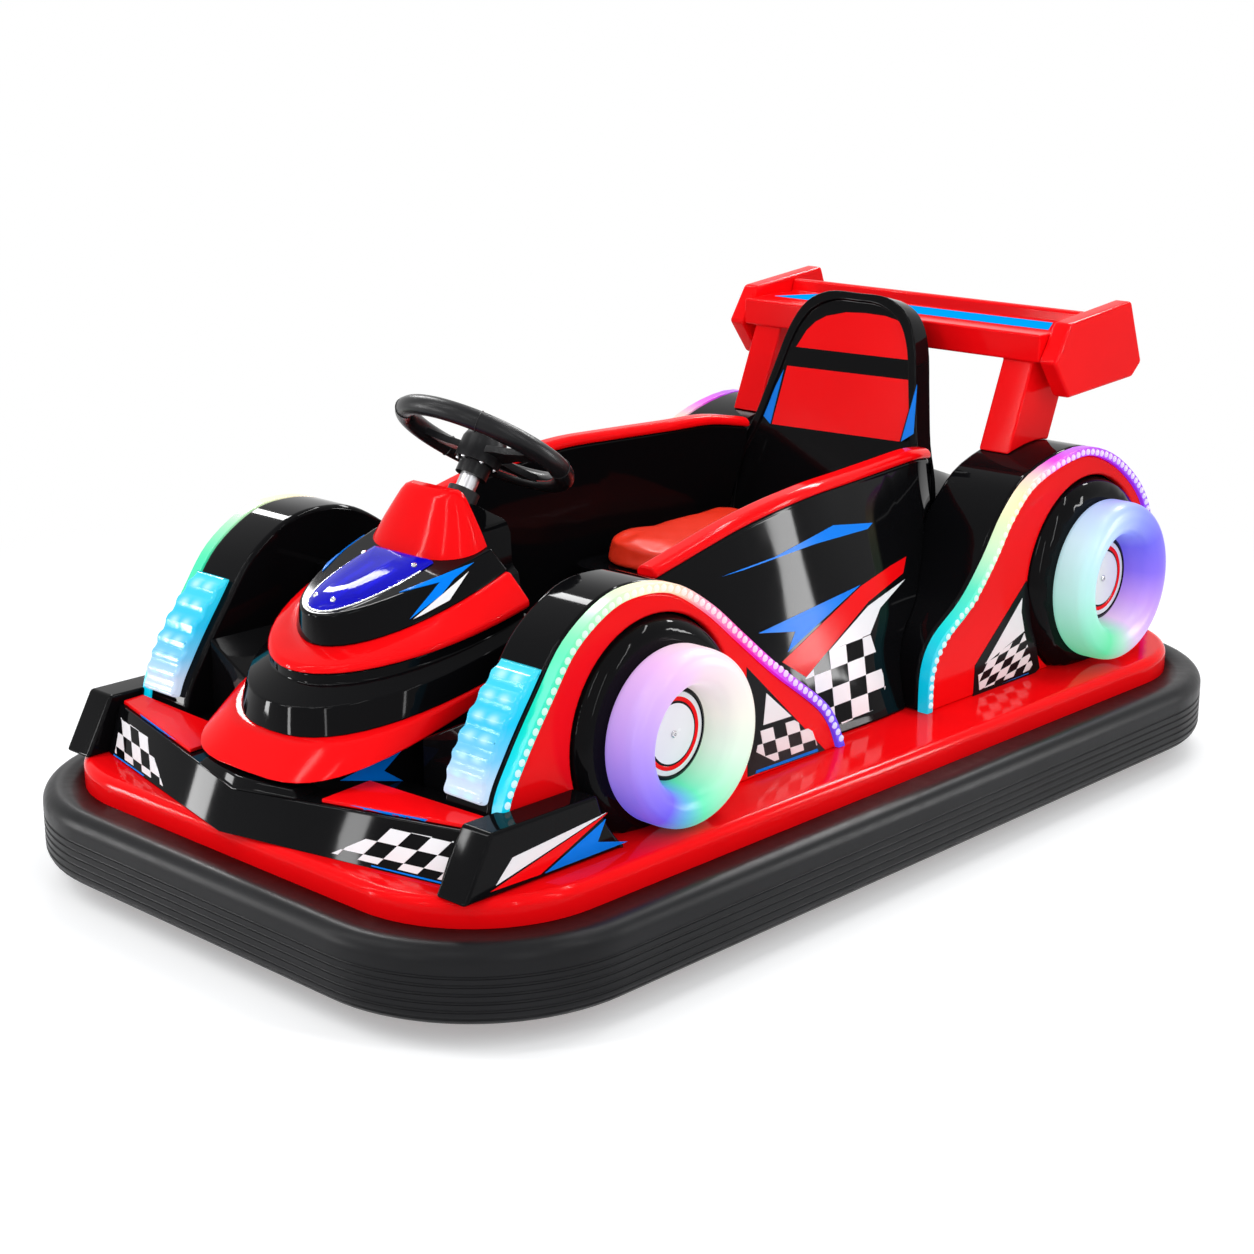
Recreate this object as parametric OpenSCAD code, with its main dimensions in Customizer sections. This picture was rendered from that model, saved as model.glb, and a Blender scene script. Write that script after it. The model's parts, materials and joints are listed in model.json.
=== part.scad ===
// Battery-driven bumper car with a single seat, racing-style bodywork and light-up wheels.
// Front is -Y, the car's left is +X, up is +Z, and the origin is on the floor under the middle.

/* [Bumper] */
// Width over the rubber bumper
bumper_w = 1100; // [1060:5:1200]
// Outer corner radius of the bumper in plan
bumper_r = 270; // [240:5:300]
// Height of the bumper's lower edge above the floor
bumper_z = 35; // [25:1:45]
// Height of the bumper section
bumper_h = 110; // [100:1:120]
// Depth of the bumper section
bumper_d = 62; // [55:1:70]
// Rounding of the bumper's outer edges
bumper_round = 24; // [16:1:30]
// Number of grooves round the bumper
bumper_grooves = 6; // [2:1:7]
// Radius of one groove
groove_r = 2.5; // [1.5:0.5:4]

/* [Hull] */
// Height of the deck above the floor
deck_z = 184; // [178:1:195]
// Wall of the moulded hull
hull_wall = 6; // [4:0.5:8]
// Rounding of the deck's outer edge
deck_edge_r = 14; // [10:1:20]
// Depth of the hull's skirt below the deck
skirt_h = 124; // [90:1:130]

/* [Cockpit] */
// Width of the cockpit opening in the deck
cockpit_w = 450; // [420:5:456]
// Front edge of the cockpit opening
cockpit_front_y = -405; // [-420:5:-380]
// Rear edge of the cockpit opening
cockpit_rear_y = 330; // [300:5:360]
// Depth of the floor pan below the deck
pan_depth = 100; // [80:1:110]
// Wall of the floor pan
pan_wall = 3; // [2:0.5:4]

/* [Chassis] */
// Distance of each rail's middle from the centre line
rail_x = 252; // [250:1:270]
// Outer size of the square rails
rail_s = 40; // [35:1:44]
// Wall of the rails
rail_wall = 3; // [2:0.5:4]
// Bore radius of the transport bolts in the rails
bolt_r = 5.5; // [4:0.5:7]

/* [Running gear] */
// Radius of the rolling wheels
wheel_r = 80; // [70:1:84]
// Width of a rear wheel
rear_wheel_w = 45; // [35:1:55]
// Distance of a rear wheel's middle from the centre line
rear_wheel_x = 335; // [325:1:350]
// Distance between the front wheel and the rear axle
wheelbase = 1100; // [1090:5:1110]
// Distance from the bumper's front to the front wheel
front_reach = 320; // [315:1:326]
// Distance from the rear axle to the bumper's rear
rear_reach = 460; // [455:1:470]
// Radius of the axles
axle_r = 10; // [8:0.5:12]
// Width of the driven front wheel
drive_wheel_w = 50; // [40:1:56]
// Radius of the drive motor
motor_r = 42; // [35:1:48]
// Length of the drive motor
motor_l = 110; // [80:1:125]

/* [Nose] */
// Rear end of the nose
nose_rear_y = -485; // [-490:1:-480]
// Foremost point of the nose's base
nose_front_y = -850; // [-860:1:-840]
// Half width of the nose at its rear
nose_half_w = 195; // [185:1:200]

/* [Front wing] */
// How far the front wing's ends lie inside the light strips' outer faces
wing_in = 10; // [4:1:14]
// Foremost point of the front wing
wing_tip_y = -893; // [-905:1:-888]
// Rear edge of the front wing
wing_rear_y = -745; // [-748:1:-742]
// Thickness of an endplate
endplate_t = 56; // [46:1:58]

/* [Fenders] */
// Inner face of the front fenders, from the centre line
fender_in_x = 280; // [276:1:284]
// Outer face of the fenders, from the centre line
fender_out_x = 372; // [366:1:374]
// Inner face of the rear fenders, from the centre line
rear_in_x = 236; // [234:1:240]
// Height of the front fenders above the deck
fender_front_h = 335; // [325:1:340]
// Height of the rear fenders above the deck
fender_rear_h = 363; // [355:1:368]
// Thickness of the red face plates
face_t = 16; // [10:1:18]
// Width of the light strip along a fender's edge
led_w = 14; // [10:1:18]
// Thickness of the light strip
led_t = 20; // [17:1:22]

/* [Light wheels] */
// Radius of a front light ring
ring_front_r = 125; // [122:1:128]
// Radius of a rear light ring
ring_rear_r = 133; // [126:1:136]
// Radius of the hole in a light ring
ring_hole_r = 70; // [64:1:76]
// Thickness of a light ring
ring_t = 65; // [50:1:67]
// How far the black disc reaches past its light ring
disc_over = 33; // [26:1:35]
// Radius of a hub cap
cap_r = 62; // [56:1:63]

/* [Seat] */
// Half width of the seat cushion
cushion_half_w = 192; // [180:1:200]
// Thickness of the seat cushion
cushion_h = 45; // [35:1:55]
// Lean of the seat back
back_lean = 14.5; // [10:0.5:18]
// Thickness of the seat back
back_t = 42; // [35:1:50]

/* [Steering] */
// Outer radius of the steering wheel
steer_r = 140; // [130:1:150]
// Radius of the steering wheel's rim section
rim_r = 15; // [12:0.5:17]
// Lean of the steering column
steer_lean = 34; // [30:1:38]
// Radius of the steering shaft
shaft_r = 15; // [12:0.5:17]

/* [Rear wing] */
// Half width of the rear wing's beam
beam_half_w = 318; // [312:1:324]
// Thickness of a rear wing endplate
tail_plate_t = 34; // [28:1:40]

/* [Hidden] */
$fn = 48;

// Gap left between two pieces that seat on each other
seat_gap = 0.3;
// Play between a shaft and its bore
bore_play = 0.05;
// Overrun of a cut past the face that it leaves
overrun = 1;

// Places along the car, worked out from the wheelbase
bumper_l = front_reach + wheelbase + rear_reach;
drive_y = front_reach - bumper_l / 2;
rear_axle_y = drive_y + wheelbase;

// Hull, worked out from the bumper
// Shares of the bumper's height at its lowest and highest groove
groove_shares = [0.12, 0.64];
hull_r = bumper_r - bumper_d - seat_gap;
hull_half_w = bumper_w / 2 - bumper_d - seat_gap;
hull_half_l = bumper_l / 2 - bumper_d - seat_gap;
under_deck_z = deck_z - hull_wall;
cockpit_l = cockpit_rear_y - cockpit_front_y;
cockpit_mid_y = (cockpit_rear_y + cockpit_front_y) / 2;

// Chassis
rail_z = under_deck_z - rail_s;
rail_end_gap = 105;
fork_disc_r = 60;
fork_swing_gap = 52;
rail_front_y = drive_y - fork_disc_r - fork_swing_gap - rail_s;
rail_rear_y = hull_half_l - rail_end_gap;
rail_l = rail_rear_y - rail_front_y;
rail_in_x = rail_x - rail_s / 2;
bolt_y = 520;
hanger_t = 10;
hanger_w = 60;
hanger_drop = 24;
plate_t = 8;
plate_l = 130;
kingpin_r = 15;

// Running gear
hub_r = 24;
hub_over = 3;
rim_bed_r = 56;
web_t = 12;
tyre_round = 10;
axle_collar_r = 17;
axle_collar_t = 8;
fork_gap = 6;
fork_arm_t = 8;
fork_arm_w = 56;
fork_disc_t = 6;
fork_z = under_deck_z - plate_t - seat_gap;
fork_in_x = drive_wheel_w / 2 + fork_gap;
fork_out_x = fork_in_x + fork_arm_t;
motor_cap_l = 14;
motor_cap_r = 34;
battery_w = 330;
battery_l = 260;
battery_h = 190;
battery_y = 150;

// Nose, tier by tier: heights are above the deck at each tier's foremost point
base_low_h = 76;
base_mid_h = 113;
base_top_h = 120.5;
band_mid_h = 160;
band_ledge_h = 184;
collar_low_h = 198;
collar_mid_h = 209;
collar_top_h = 225;
tier_top_h = 271.5;
foot_inset = 26;
base_mid_in = 40;
base_top_in = 51;
band_mid_in = 58;
band_ledge_in = 94;
collar_low_in = 89;
collar_mid_in = 94;
collar_top_in = 131;
tier_top_in = 128;
band_waist = 1;
band_ledge_w = 16;
collar_lip = 4;
collar_top_half_w = 152;
tier_half_w = 148;
tier_top_half_w = 114;
base_slope = 0.29;
seam_slope = 0.26;
collar_slope = 0.38;
tier_slope = 0.295;
nose_steps = 14;
dome_half_w = 64;
dome_front_in = 138;
dome_l = 162;
dome_h = 14;
dome_wall = 3;
dome_steps = 4;
dome_pull_share = 0.9;
dome_end_share = 0.5;

// Braces between the nose and the front fenders
brace_front_y = -688;
brace_rear_y = -560;
brace_low_h = 130;
brace_high_h = 172;
brace_in_x = 197;
tray_h = 60;
tray_t = 8;

// Front wing
wing_half_w = fender_out_x + led_t - wing_in;
wing_h = 55;
wing_end_tip_y = -808;
wing_face_lean = 27;
wing_end_lean = 24;
wing_rise_x = 0.03;
wing_rise_y = 0.05;
top_plate_t = 6;
top_in_x = 145;
top_margin = 6;
endplate_h = 86;
endplate_front_y = -844;
endplate_lean = 48;
endplate_gap = 9;
lip_half_w = 112;
lip_top_half_w = 96;
lip_in = 2;
lip_lean = 9;
lip_sweep_share = 0.2;
lip_rear_y = -790;
lip_low_h = 30;
lip_top_h = 70;

// Fender outlines
front_y0 = -742;
front_l = 716;
rear_y0 = 180;
rear_l = 646;
front_steps = 5;
rear_steps = 4;
arch_gap = 2.5;
pocket_depth = 32;
ring_front_lift = 3;
ring_rear_lift = 10;
// Light wheels, front and rear: place along the car, height above the deck, ring radius
light_front = [-444, ring_front_r + ring_front_lift, ring_front_r];
light_rear = [616, ring_rear_r + ring_rear_lift, ring_rear_r];
lamp_in = 14;
lamp_w = 74;
lamp_proud = 24;
lamp_waves = 7;
lamp_wave_h = 3;
lamp_steps = 12;
// Ends of a lamp in spans of the fender's outline, and in turns of the lamp's swell
lamp_span_shares = [1, 3.4];
lamp_end_shares = [0.12, 0.94];
ring_round = 20;
cap_t = 26;
cap_dish = 8;
disc_bulge = 12;
disc_proud = 36;
disc_out_x = fender_out_x + disc_proud;
disc_steps = 8;
disc_turn = 60;
disc_flank_shares = [0.1, 0.9];

// Side pods and rim trims
pod_in_x = rear_in_x;
pod_foot_in = 4;
// Shares from the pod's foot to its rim, across and up, at the two creases of its flank
pod_crease_shares = [[0.3, 0.35], [0.75, 0.75]];
pod_wall_share = 0.6;
pod_rim_w = 30;
pod_steps = 6;
trim_h = 16;
trim_over = 4;
// Shares of the trim's width, inwards from its outer edge, and of its height, round its crown
trim_shares = [[0, 0], [0, 0.6], [0.2, 1], [0.8, 1], [1, 0.6]];

// Seat
cushion_front_y = 0;
cushion_rear_y = 352;
cushion_top_h = 222;
cushion_round = 30;
back_half_w = 205;
back_h = 400;
back_foot_y = 378;
back_foot_h = 205;
base_wall = 8;
base_over = 10;
base_lip = 20;
base_rear_y = 300;
base_round = 38;
back_steps = 4;
border_w = 14;
border_h = 5;

// Steering
steer_y = -389;
steer_h = 459;
hub_drop = 32;
hub_cap_h = 18;
hub_cap_in = 6;
boss_r = 34;
collar_r = 24;
collar_h = 20;
spoke_w = 46;
spoke_t = 10;
// Shares of the rim's middle radius and of half the spoke's width, along one edge of a spoke
spoke_shares = [[0.1, 1], [0.32, 0.86], [0.5, 0.56], [0.76, 0.5], [1, 0.9]];
shaft_l = 120;
bush_r = 24;
bush_l = 46;
bush_drop = 74;
dash_half_w = 120;
dash_rear_y = -418;
dash_low_h = 236;
dash_h = 150;
// Shares of the dash panel's depth and height, round its side outline from the foot
dash_shares = [[0, 0], [0, 0.98], [0.6, 1], [1, 0.85], [0.8, 0]];
// Shares of the dash panel's half width and height, up one side
dash_cross_shares = [
    [1, 0], [0.98, 0.14], [0.88, 0.37], [0.76, 0.45], [0.7, 0.74], [0.62, 0.83], [0.3, 0.97], [0, 1]
];
pocket_w = 42;
pocket_h = 42;
pocket_x = 28;
pocket_low_share = 0.42;
pocket_in = 26;
cowl_front_y = -549;
cowl_h = 92;
cowl_low_h = 322;
cowl_half_w = 114;
// Shares of the cowl's length its front lies back, of its half width and of its rise, upwards
cowl_shares = [
    [0, 1, -1], [0, 1, 0], [0.07, 0.96, 0.12], [0.26, 0.83, 0.4], [0.45, 0.68, 0.68], [0.57, 0.57, 0.87],
    [0.65, 0.5, 0.96], [0.74, 0.42, 1]
];
bulkhead_t = 20;
bulkhead_h = 250;
pedal_w = 70;
pedal_l = 110;
pedal_t = 8;
pedal_lean = 50;
pedal_x = 80;
pedal_foot_y = -325;

// Rear deck and rear wing
tail_half_w = 234;
tail_front_y = 412;
tail_rear_y = 800;
tail_h = 330;
tail_steps = 5;
// Shares of the rear deck's half width and height, from its side to its crown
tail_cross_shares = [[1, 0.8], [0.6, 0.96], [0.2, 1]];
beam_front_y = 555;
beam_h = 46;
beam_low_h = 499;
beam_l = 150;
// Shares of the beam's depth and height round its section
beam_shares = [[0, 0], [0, 1], [0.88, 1], [0.91, 1.46], [1, 1.5], [1, 0.9], [0.3, 0]];
strut_top_share = 0.8;
strut_in_x = 240;
strut_w = 60;
strut_l = 113;
strut_foot_y = 491;
strut_lean = 89;
tail_plate_h = 143;
tail_plate_l = 267;
tail_plate_y = 551;
tail_plate_low_h = 439;

// Shares of a front fender's length and height, along its edge from front to rear
fender_front_shares = [
    [0, 0], [0.012, 0.26], [0.054, 0.436], [0.124, 0.654], [0.193, 0.844], [0.292, 0.973], [0.385, 1],
    [0.479, 0.962], [0.577, 0.836], [0.668, 0.676], [0.782, 0.476], [0.914, 0.27], [0.967, 0.149], [1, 0]
];
// Shares of a rear fender's length and height, along its edge from front to rear
fender_rear_shares = [
    [0, 0], [0.005, 0.19], [0.048, 0.32], [0.157, 0.447], [0.244, 0.609], [0.323, 0.792], [0.429, 0.928],
    [0.625, 1], [0.771, 0.94], [0.902, 0.786], [0.972, 0.623], [0.994, 0.45], [1, 0.25], [1, 0]
];
// Shares of the pod's length, rim place and rim height, from front to rear
pod_l = 740;
pod_y0 = -330;
pod_foot_x = 356;
pod_rim_x = 280;
pod_rim_h = 366;
pod_shares = [
    [0, 1, 1, 0.83], [0.25, 1, 1, 0.943], [0.45, 1, 0.993, 0.995], [0.62, 1, 0.94, 1],
    [0.78, 0.955, 0.875, 1], [0.9, 0.83, 0.83, 1], [1, 0.68, 0.75, 0.97]
];
// Shares of the seat back's half width and height, up one side
back_shares = [
    [1, 0], [1, 0.22], [0.86, 0.42], [0.76, 0.62], [0.66, 0.82], [0.52, 0.94], [0.3, 0.995], [0, 1]
];
// Shares of an endplate outline of the rear wing
tail_plate_shares = [[0.15, 0.87], [0, 0.44], [0.176, 0], [0.9, 0.084], [1, 0.245], [0.843, 1]];
// Shares of the rear deck's length and height along its middle
tail_shares = [[0, 1], [0.15, 0.97], [0.4, 0.9], [0.65, 0.72], [0.85, 0.42], [1, 0.16]];

function lerp(a, b, t) = a + (b - a) * t;

// One span of a smooth curve through four points
function span(a, b, c, d, t) =
    (2 * b + (c - a) * t + (2 * a - 5 * b + 4 * c - d) * t * t + (3 * b - a - 3 * c + d) * t * t * t) / 2;

// Smooth open curve through points p, with n steps in each span
function curve(p, n) = [
    for (i = [0 : len(p) - 2], s = [0 : i == len(p) - 2 ? n : n - 1])
        span(p[max(i - 1, 0)], p[i], p[i + 1], p[min(i + 2, len(p) - 1)], s / n)
];

// Curve moved sideways by d, to the right of its direction
function inset(p, d) = [
    for (i = [0 : len(p) - 1])
        let (v = p[min(i + 1, len(p) - 1)] - p[max(i - 1, 0)])
            p[i] + d * [v[1], -v[0]] / norm(v)
];

function reverse(p) = [for (i = [len(p) - 1 : -1 : 0]) p[i]];

// Shares turned into places along the car and heights above the floor
function placed(shares, y0, l, z0, h) = [for (s = shares) [y0 + s[0] * l, z0 + s[1] * h]];

// Half-ellipse outline of one tier of the nose, open to the rear, in a plane that rises to the rear
function nose_ring(front_in, half_w, power, h, slope, rear_y = nose_rear_y) = [
    for (i = [-nose_steps : nose_steps])
        let (
            t = 90 * i / nose_steps,
            x = half_w * sign(t) * pow(abs(sin(t)), 2 / power),
            l = rear_y - nose_front_y - front_in,
            y = rear_y - l * pow(abs(cos(t)), 2 / power)
        )
            [x, y, deck_z + h + slope * (y - nose_front_y - front_in)]
];

// Closed skin over rings of points, each ring turning left as seen from the last ring
module loft(rings) {
    n = len(rings[0]);
    last = (len(rings) - 1) * n;
    polyhedron(
        [for (r = rings) each r],
        concat(
            [
                for (k = [0 : len(rings) - 2], i = [0 : n - 1])
                    [k * n + i, (k + 1) * n + i, (k + 1) * n + (i + 1) % n]
            ],
            [
                for (k = [0 : len(rings) - 2], i = [0 : n - 1])
                    [k * n + i, (k + 1) * n + (i + 1) % n, k * n + (i + 1) % n]
            ],
            [[for (i = [0 : n - 1]) i], [for (i = [n - 1 : -1 : 0]) last + i]]
        )
    );
}

// Outline in length and height, pulled across the car from x0 to x1
module across(x0, x1) {
    translate([x0, 0, 0]) rotate([90, 0, 90]) linear_extrude(x1 - x0) children();
}

module both_sides() {
    children();
    mirror([1, 0, 0]) children();
}

// Section swept round a rectangle with rounded corners; x of the section starts at the corners' middle
module ring_sweep(half_w, half_l, r) {
    for (i = [0 : 3]) {
        side = i % 2 == 0 ? [half_w - r, half_l - r] : [half_l - r, half_w - r];
        rotate(90 * i) {
            translate([side[0], side[1], 0]) rotate_extrude(angle = 90) children();
            translate([side[0], side[1], 0]) rotate([90, 0, 0]) linear_extrude(2 * side[1]) children();
        }
    }
}

module rounded_rect(half_w, half_l, r) {
    square([2 * half_w, 2 * (half_l - r)], center = true);
    square([2 * (half_w - r), 2 * half_l], center = true);
    for (sx = [-1, 1], sy = [-1, 1])
        translate([sx * (half_w - r), sy * (half_l - r)]) circle(r);
}

// Turns a shape that stands on its axis so that the axis runs across the car
module axis_across() {
    rotate([0, 90, 0]) children();
}

// Rubber bumper
function bumper_face_x(z) =
    bumper_d - bumper_round + sqrt(pow(bumper_round, 2) - pow(max(bumper_round - z, 0), 2));

module bumper_section() {
    low = groove_shares[0] * bumper_h;
    pitch = (groove_shares[1] - groove_shares[0]) * bumper_h / (bumper_grooves - 1);
    difference() {
        union() {
            square([bumper_d - bumper_round, bumper_h]);
            translate([0, bumper_round]) square([bumper_d, bumper_h - 2 * bumper_round]);
            for (z = [bumper_round, bumper_h - bumper_round])
                translate([bumper_d - bumper_round, z]) circle(bumper_round);
        }
        for (i = [0 : bumper_grooves - 1])
            let (z = low + i * pitch)
                translate([bumper_face_x(z), z]) circle(groove_r, $fn = 16);
    }
}

module bumper_ring() {
    color("#2b2c2e")
        translate([0, 0, bumper_z])
            ring_sweep(bumper_w / 2, bumper_l / 2, bumper_r)
                translate([bumper_r - bumper_d, 0]) bumper_section();
}

// Hull: skirt, rounded edge and deck with the cockpit opening
module hull_section() {
    translate([hull_r - hull_wall, deck_z - skirt_h]) square([hull_wall, skirt_h - deck_edge_r]);
    translate([hull_r - deck_edge_r, deck_z - deck_edge_r])
        intersection() {
            circle(deck_edge_r);
            square(deck_edge_r);
        }
}

module hull() {
    color("#d8121a") {
        ring_sweep(hull_half_w, hull_half_l, hull_r) hull_section();
        translate([0, 0, under_deck_z])
            linear_extrude(hull_wall)
                difference() {
                    rounded_rect(hull_half_w - deck_edge_r, hull_half_l - deck_edge_r, hull_r - deck_edge_r);
                    translate([0, cockpit_mid_y]) square([cockpit_w, cockpit_l], center = true);
                }
    }
}

// Floor pan that hangs under the cockpit opening
module floor_pan() {
    outer_w = cockpit_w + 2 * pan_wall;
    outer_l = cockpit_l + 2 * pan_wall;
    pan_z = under_deck_z - pan_depth;
    color("#1a1a1c")
        translate([0, cockpit_mid_y, 0])
            difference() {
                translate([-outer_w / 2, -outer_l / 2, pan_z]) cube([outer_w, outer_l, pan_depth]);
                translate([-cockpit_w / 2, -cockpit_l / 2, pan_z + pan_wall])
                    cube([cockpit_w, cockpit_l, pan_depth]);
            }
}

// Square tube along the car
module tube_y(x, y0, l) {
    translate([x - rail_s / 2, y0, rail_z])
        difference() {
            cube([rail_s, l, rail_s]);
            translate([rail_wall, -overrun, rail_wall])
                cube([rail_s - 2 * rail_wall, l + 2 * overrun, rail_s - 2 * rail_wall]);
        }
}

// Square tube across the car, between the rails
module tube_x(y) {
    translate([-rail_in_x, y - rail_s / 2, rail_z])
        difference() {
            cube([2 * rail_in_x, rail_s, rail_s]);
            translate([-overrun, rail_wall, rail_wall])
                cube([2 * (rail_in_x + overrun), rail_s - 2 * rail_wall, rail_s - 2 * rail_wall]);
        }
}

module axle_hanger(x) {
    low_z = wheel_r - hanger_drop;
    difference() {
        translate([x - hanger_t / 2, rear_axle_y - hanger_w / 2, low_z])
            cube([hanger_t, hanger_w, rail_z - low_z + rail_wall]);
        translate([x - hanger_t / 2 - overrun, rear_axle_y, wheel_r])
            axis_across() cylinder(h = hanger_t + 2 * overrun, r = axle_r + bore_play);
    }
}

module chassis_frame() {
    color("#3a3d40")
        difference() {
            union() {
                for (s = [-1, 1]) {
                    tube_y(s * rail_x, rail_front_y, rail_l);
                    axle_hanger(s * rail_x);
                }
                for (y = [rail_front_y + rail_s / 2, rail_rear_y - rail_s / 2, rear_axle_y]) tube_x(y);
                translate([-rail_in_x, drive_y - plate_l / 2, under_deck_z - plate_t])
                    cube([2 * rail_in_x, plate_l, plate_t]);
            }
            translate([0, drive_y, under_deck_z - plate_t - overrun])
                cylinder(h = plate_t + 2 * overrun, r = kingpin_r + bore_play);
            for (sx = [-1, 1], sy = [-1, 1])
                translate([sx * rail_x, sy * bolt_y, rail_z - overrun])
                    cylinder(h = rail_wall + 2 * overrun, r = bolt_r);
        }
}

// Battery in the pan, under the seat
module battery_block() {
    color("#2a2d33")
        translate([-battery_w / 2, battery_y - battery_l / 2, under_deck_z - pan_depth + pan_wall])
            cube([battery_w, battery_l, battery_h]);
}

module rear_axle() {
    reach = rear_wheel_x + rear_wheel_w / 2 + hub_over + seat_gap;
    color("#9a9da0")
        translate([0, rear_axle_y, wheel_r])
            axis_across() {
                cylinder(h = 2 * (reach + axle_collar_t), r = axle_r, center = true);
                both_ends() translate([0, 0, reach]) cylinder(h = axle_collar_t, r = axle_collar_r);
                both_ends()
                    translate([0, 0, rear_wheel_x - rear_wheel_w / 2 - hub_over - seat_gap - axle_collar_t])
                        cylinder(h = axle_collar_t, r = axle_collar_r);
            }
}

module both_ends() {
    children();
    mirror([0, 0, 1]) children();
}

// Rolling wheel on its axis: tyre, rim bed, web and bored hub
module rolling_wheel(w) {
    rotate_extrude($fn = 64) {
        translate([axle_r + bore_play, -w / 2 - hub_over])
            square([hub_r - axle_r - bore_play, w + 2 * hub_over]);
        translate([hub_r, -web_t / 2]) square([rim_bed_r - hub_r, web_t]);
        translate([rim_bed_r, -w / 2]) square([wheel_r - rim_bed_r - tyre_round, w]);
        translate([wheel_r - tyre_round, -w / 2 + tyre_round]) square([tyre_round, w - 2 * tyre_round]);
        for (s = [-1, 1])
            translate([wheel_r - tyre_round, s * (w / 2 - tyre_round)]) circle(tyre_round, $fn = 24);
    }
}

module rear_wheel_at(x) {
    color("#1d1d1f")
        translate([x, rear_axle_y, wheel_r]) axis_across() rolling_wheel(rear_wheel_w);
}

module rear_wheel_left() {
    rear_wheel_at(rear_wheel_x);
}

module rear_wheel_right() {
    rear_wheel_at(-rear_wheel_x);
}

// Fork that carries the driven front wheel and turns under the deck
module steer_fork() {
    color("#55585c")
        translate([0, drive_y, 0]) {
            translate([0, 0, fork_z - fork_disc_t]) cylinder(h = fork_disc_t, r = fork_disc_r);
            translate([0, 0, fork_z - fork_disc_t])
                cylinder(h = under_deck_z - seat_gap - fork_z + fork_disc_t, r = kingpin_r);
            for (s = [-1, 1]) {
                mid_x = s * (fork_in_x + fork_arm_t / 2);
                translate([mid_x - fork_arm_t / 2, -fork_arm_w / 2, wheel_r])
                    cube([fork_arm_t, fork_arm_w, fork_z - fork_disc_t - wheel_r]);
                translate([mid_x - fork_arm_t / 2, 0, wheel_r])
                    axis_across() cylinder(h = fork_arm_t, r = fork_arm_w / 2);
            }
            translate([-fork_out_x, 0, wheel_r]) axis_across() cylinder(h = 2 * fork_out_x, r = axle_r);
            translate([-fork_out_x - axle_collar_t, 0, wheel_r])
                axis_across() cylinder(h = axle_collar_t, r = axle_collar_r);
        }
}

module drive_motor() {
    color("#707478")
        translate([fork_out_x, drive_y, wheel_r])
            axis_across() {
                cylinder(h = motor_l - motor_cap_l, r = motor_r);
                translate([0, 0, motor_l - motor_cap_l]) cylinder(h = motor_cap_l, r = motor_cap_r);
            }
}

module drive_wheel() {
    color("#1d1d1f")
        translate([0, drive_y, wheel_r]) axis_across() rolling_wheel(drive_wheel_w - 2 * hub_over);
}

// Nose: stacked tiers that share one outline family
foot_half_w = nose_half_w - foot_inset;
foot_top_h = base_low_h + base_slope * foot_inset - seat_gap;
foot_rings = [
    nose_ring(foot_inset, foot_half_w, 3, 0, 0),
    nose_ring(foot_inset, foot_half_w, 3, foot_top_h, base_slope)
];
base_rings = [
    nose_ring(0, nose_half_w, 3.5, base_low_h, base_slope),
    nose_ring(base_mid_in, nose_half_w, 3, base_mid_h, seam_slope),
    nose_ring(base_top_in, nose_half_w - seat_gap, 2.6, base_top_h, seam_slope)
];
band_rings = [
    nose_ring(base_top_in, nose_half_w, 2.4, base_top_h + seat_gap, seam_slope),
    nose_ring(band_mid_in, nose_half_w - band_waist, 2.2, band_mid_h, seam_slope),
    nose_ring(band_ledge_in, nose_half_w - band_ledge_w, 2.1, band_ledge_h, seam_slope),
    nose_ring(band_ledge_in, nose_half_w - band_ledge_w, 2.1, collar_low_h - seat_gap, seam_slope)
];
collar_rings = [
    nose_ring(collar_low_in, nose_half_w - collar_lip, 2, collar_low_h, seam_slope),
    nose_ring(collar_mid_in, nose_half_w - collar_lip, 2, collar_mid_h, seam_slope),
    nose_ring(collar_top_in, collar_top_half_w, 2, collar_top_h, collar_slope)
];
tier_rings = [
    nose_ring(collar_top_in, tier_half_w, 2, collar_top_h + seat_gap, collar_slope),
    nose_ring(tier_top_in, tier_top_half_w, 2, tier_top_h, tier_slope)
];

module nose_foot() {
    color("#111113") loft(foot_rings);
}

module nose_base() {
    color("#d8121a") loft(base_rings);
}

module nose_band() {
    color("#111113") loft(band_rings);
}

module nose_collar() {
    color("#d8121a") loft(collar_rings);
}

module nose_tier() {
    color("#111113") loft(tier_rings);
}

// Crowned skin of the lamp dome, in by a wall for its inside
function dome_rings(wall) = [
    for (k = [0 : dome_steps])
        let (
            share = k / dome_steps,
            pull = sqrt(1 - dome_pull_share * share * share),
            rear = nose_front_y + dome_front_in + dome_l - wall,
            base = nose_ring(dome_front_in + wall, dome_half_w - wall, 2.3,
                tier_top_h + tier_slope * (dome_front_in - tier_top_in) + seat_gap, tier_slope, rear),
            mid_y = nose_front_y + dome_front_in + dome_l / 2
        )
            [for (p = base)
                let (y = mid_y + (p[1] - mid_y) * (k == 0 ? 1 : lerp(1, pull, dome_end_share)))
                    [
                        p[0] * pull, y,
                        p[2] + tier_slope * (y - p[1]) + share * (dome_h - wall)
                            - (k == 0 && wall > 0 ? overrun : 0)
                    ]]
];

module lamp_dome() {
    color("#2a35d8")
        difference() {
            loft(dome_rings(0));
            loft(dome_rings(dome_wall));
        }
}

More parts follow.
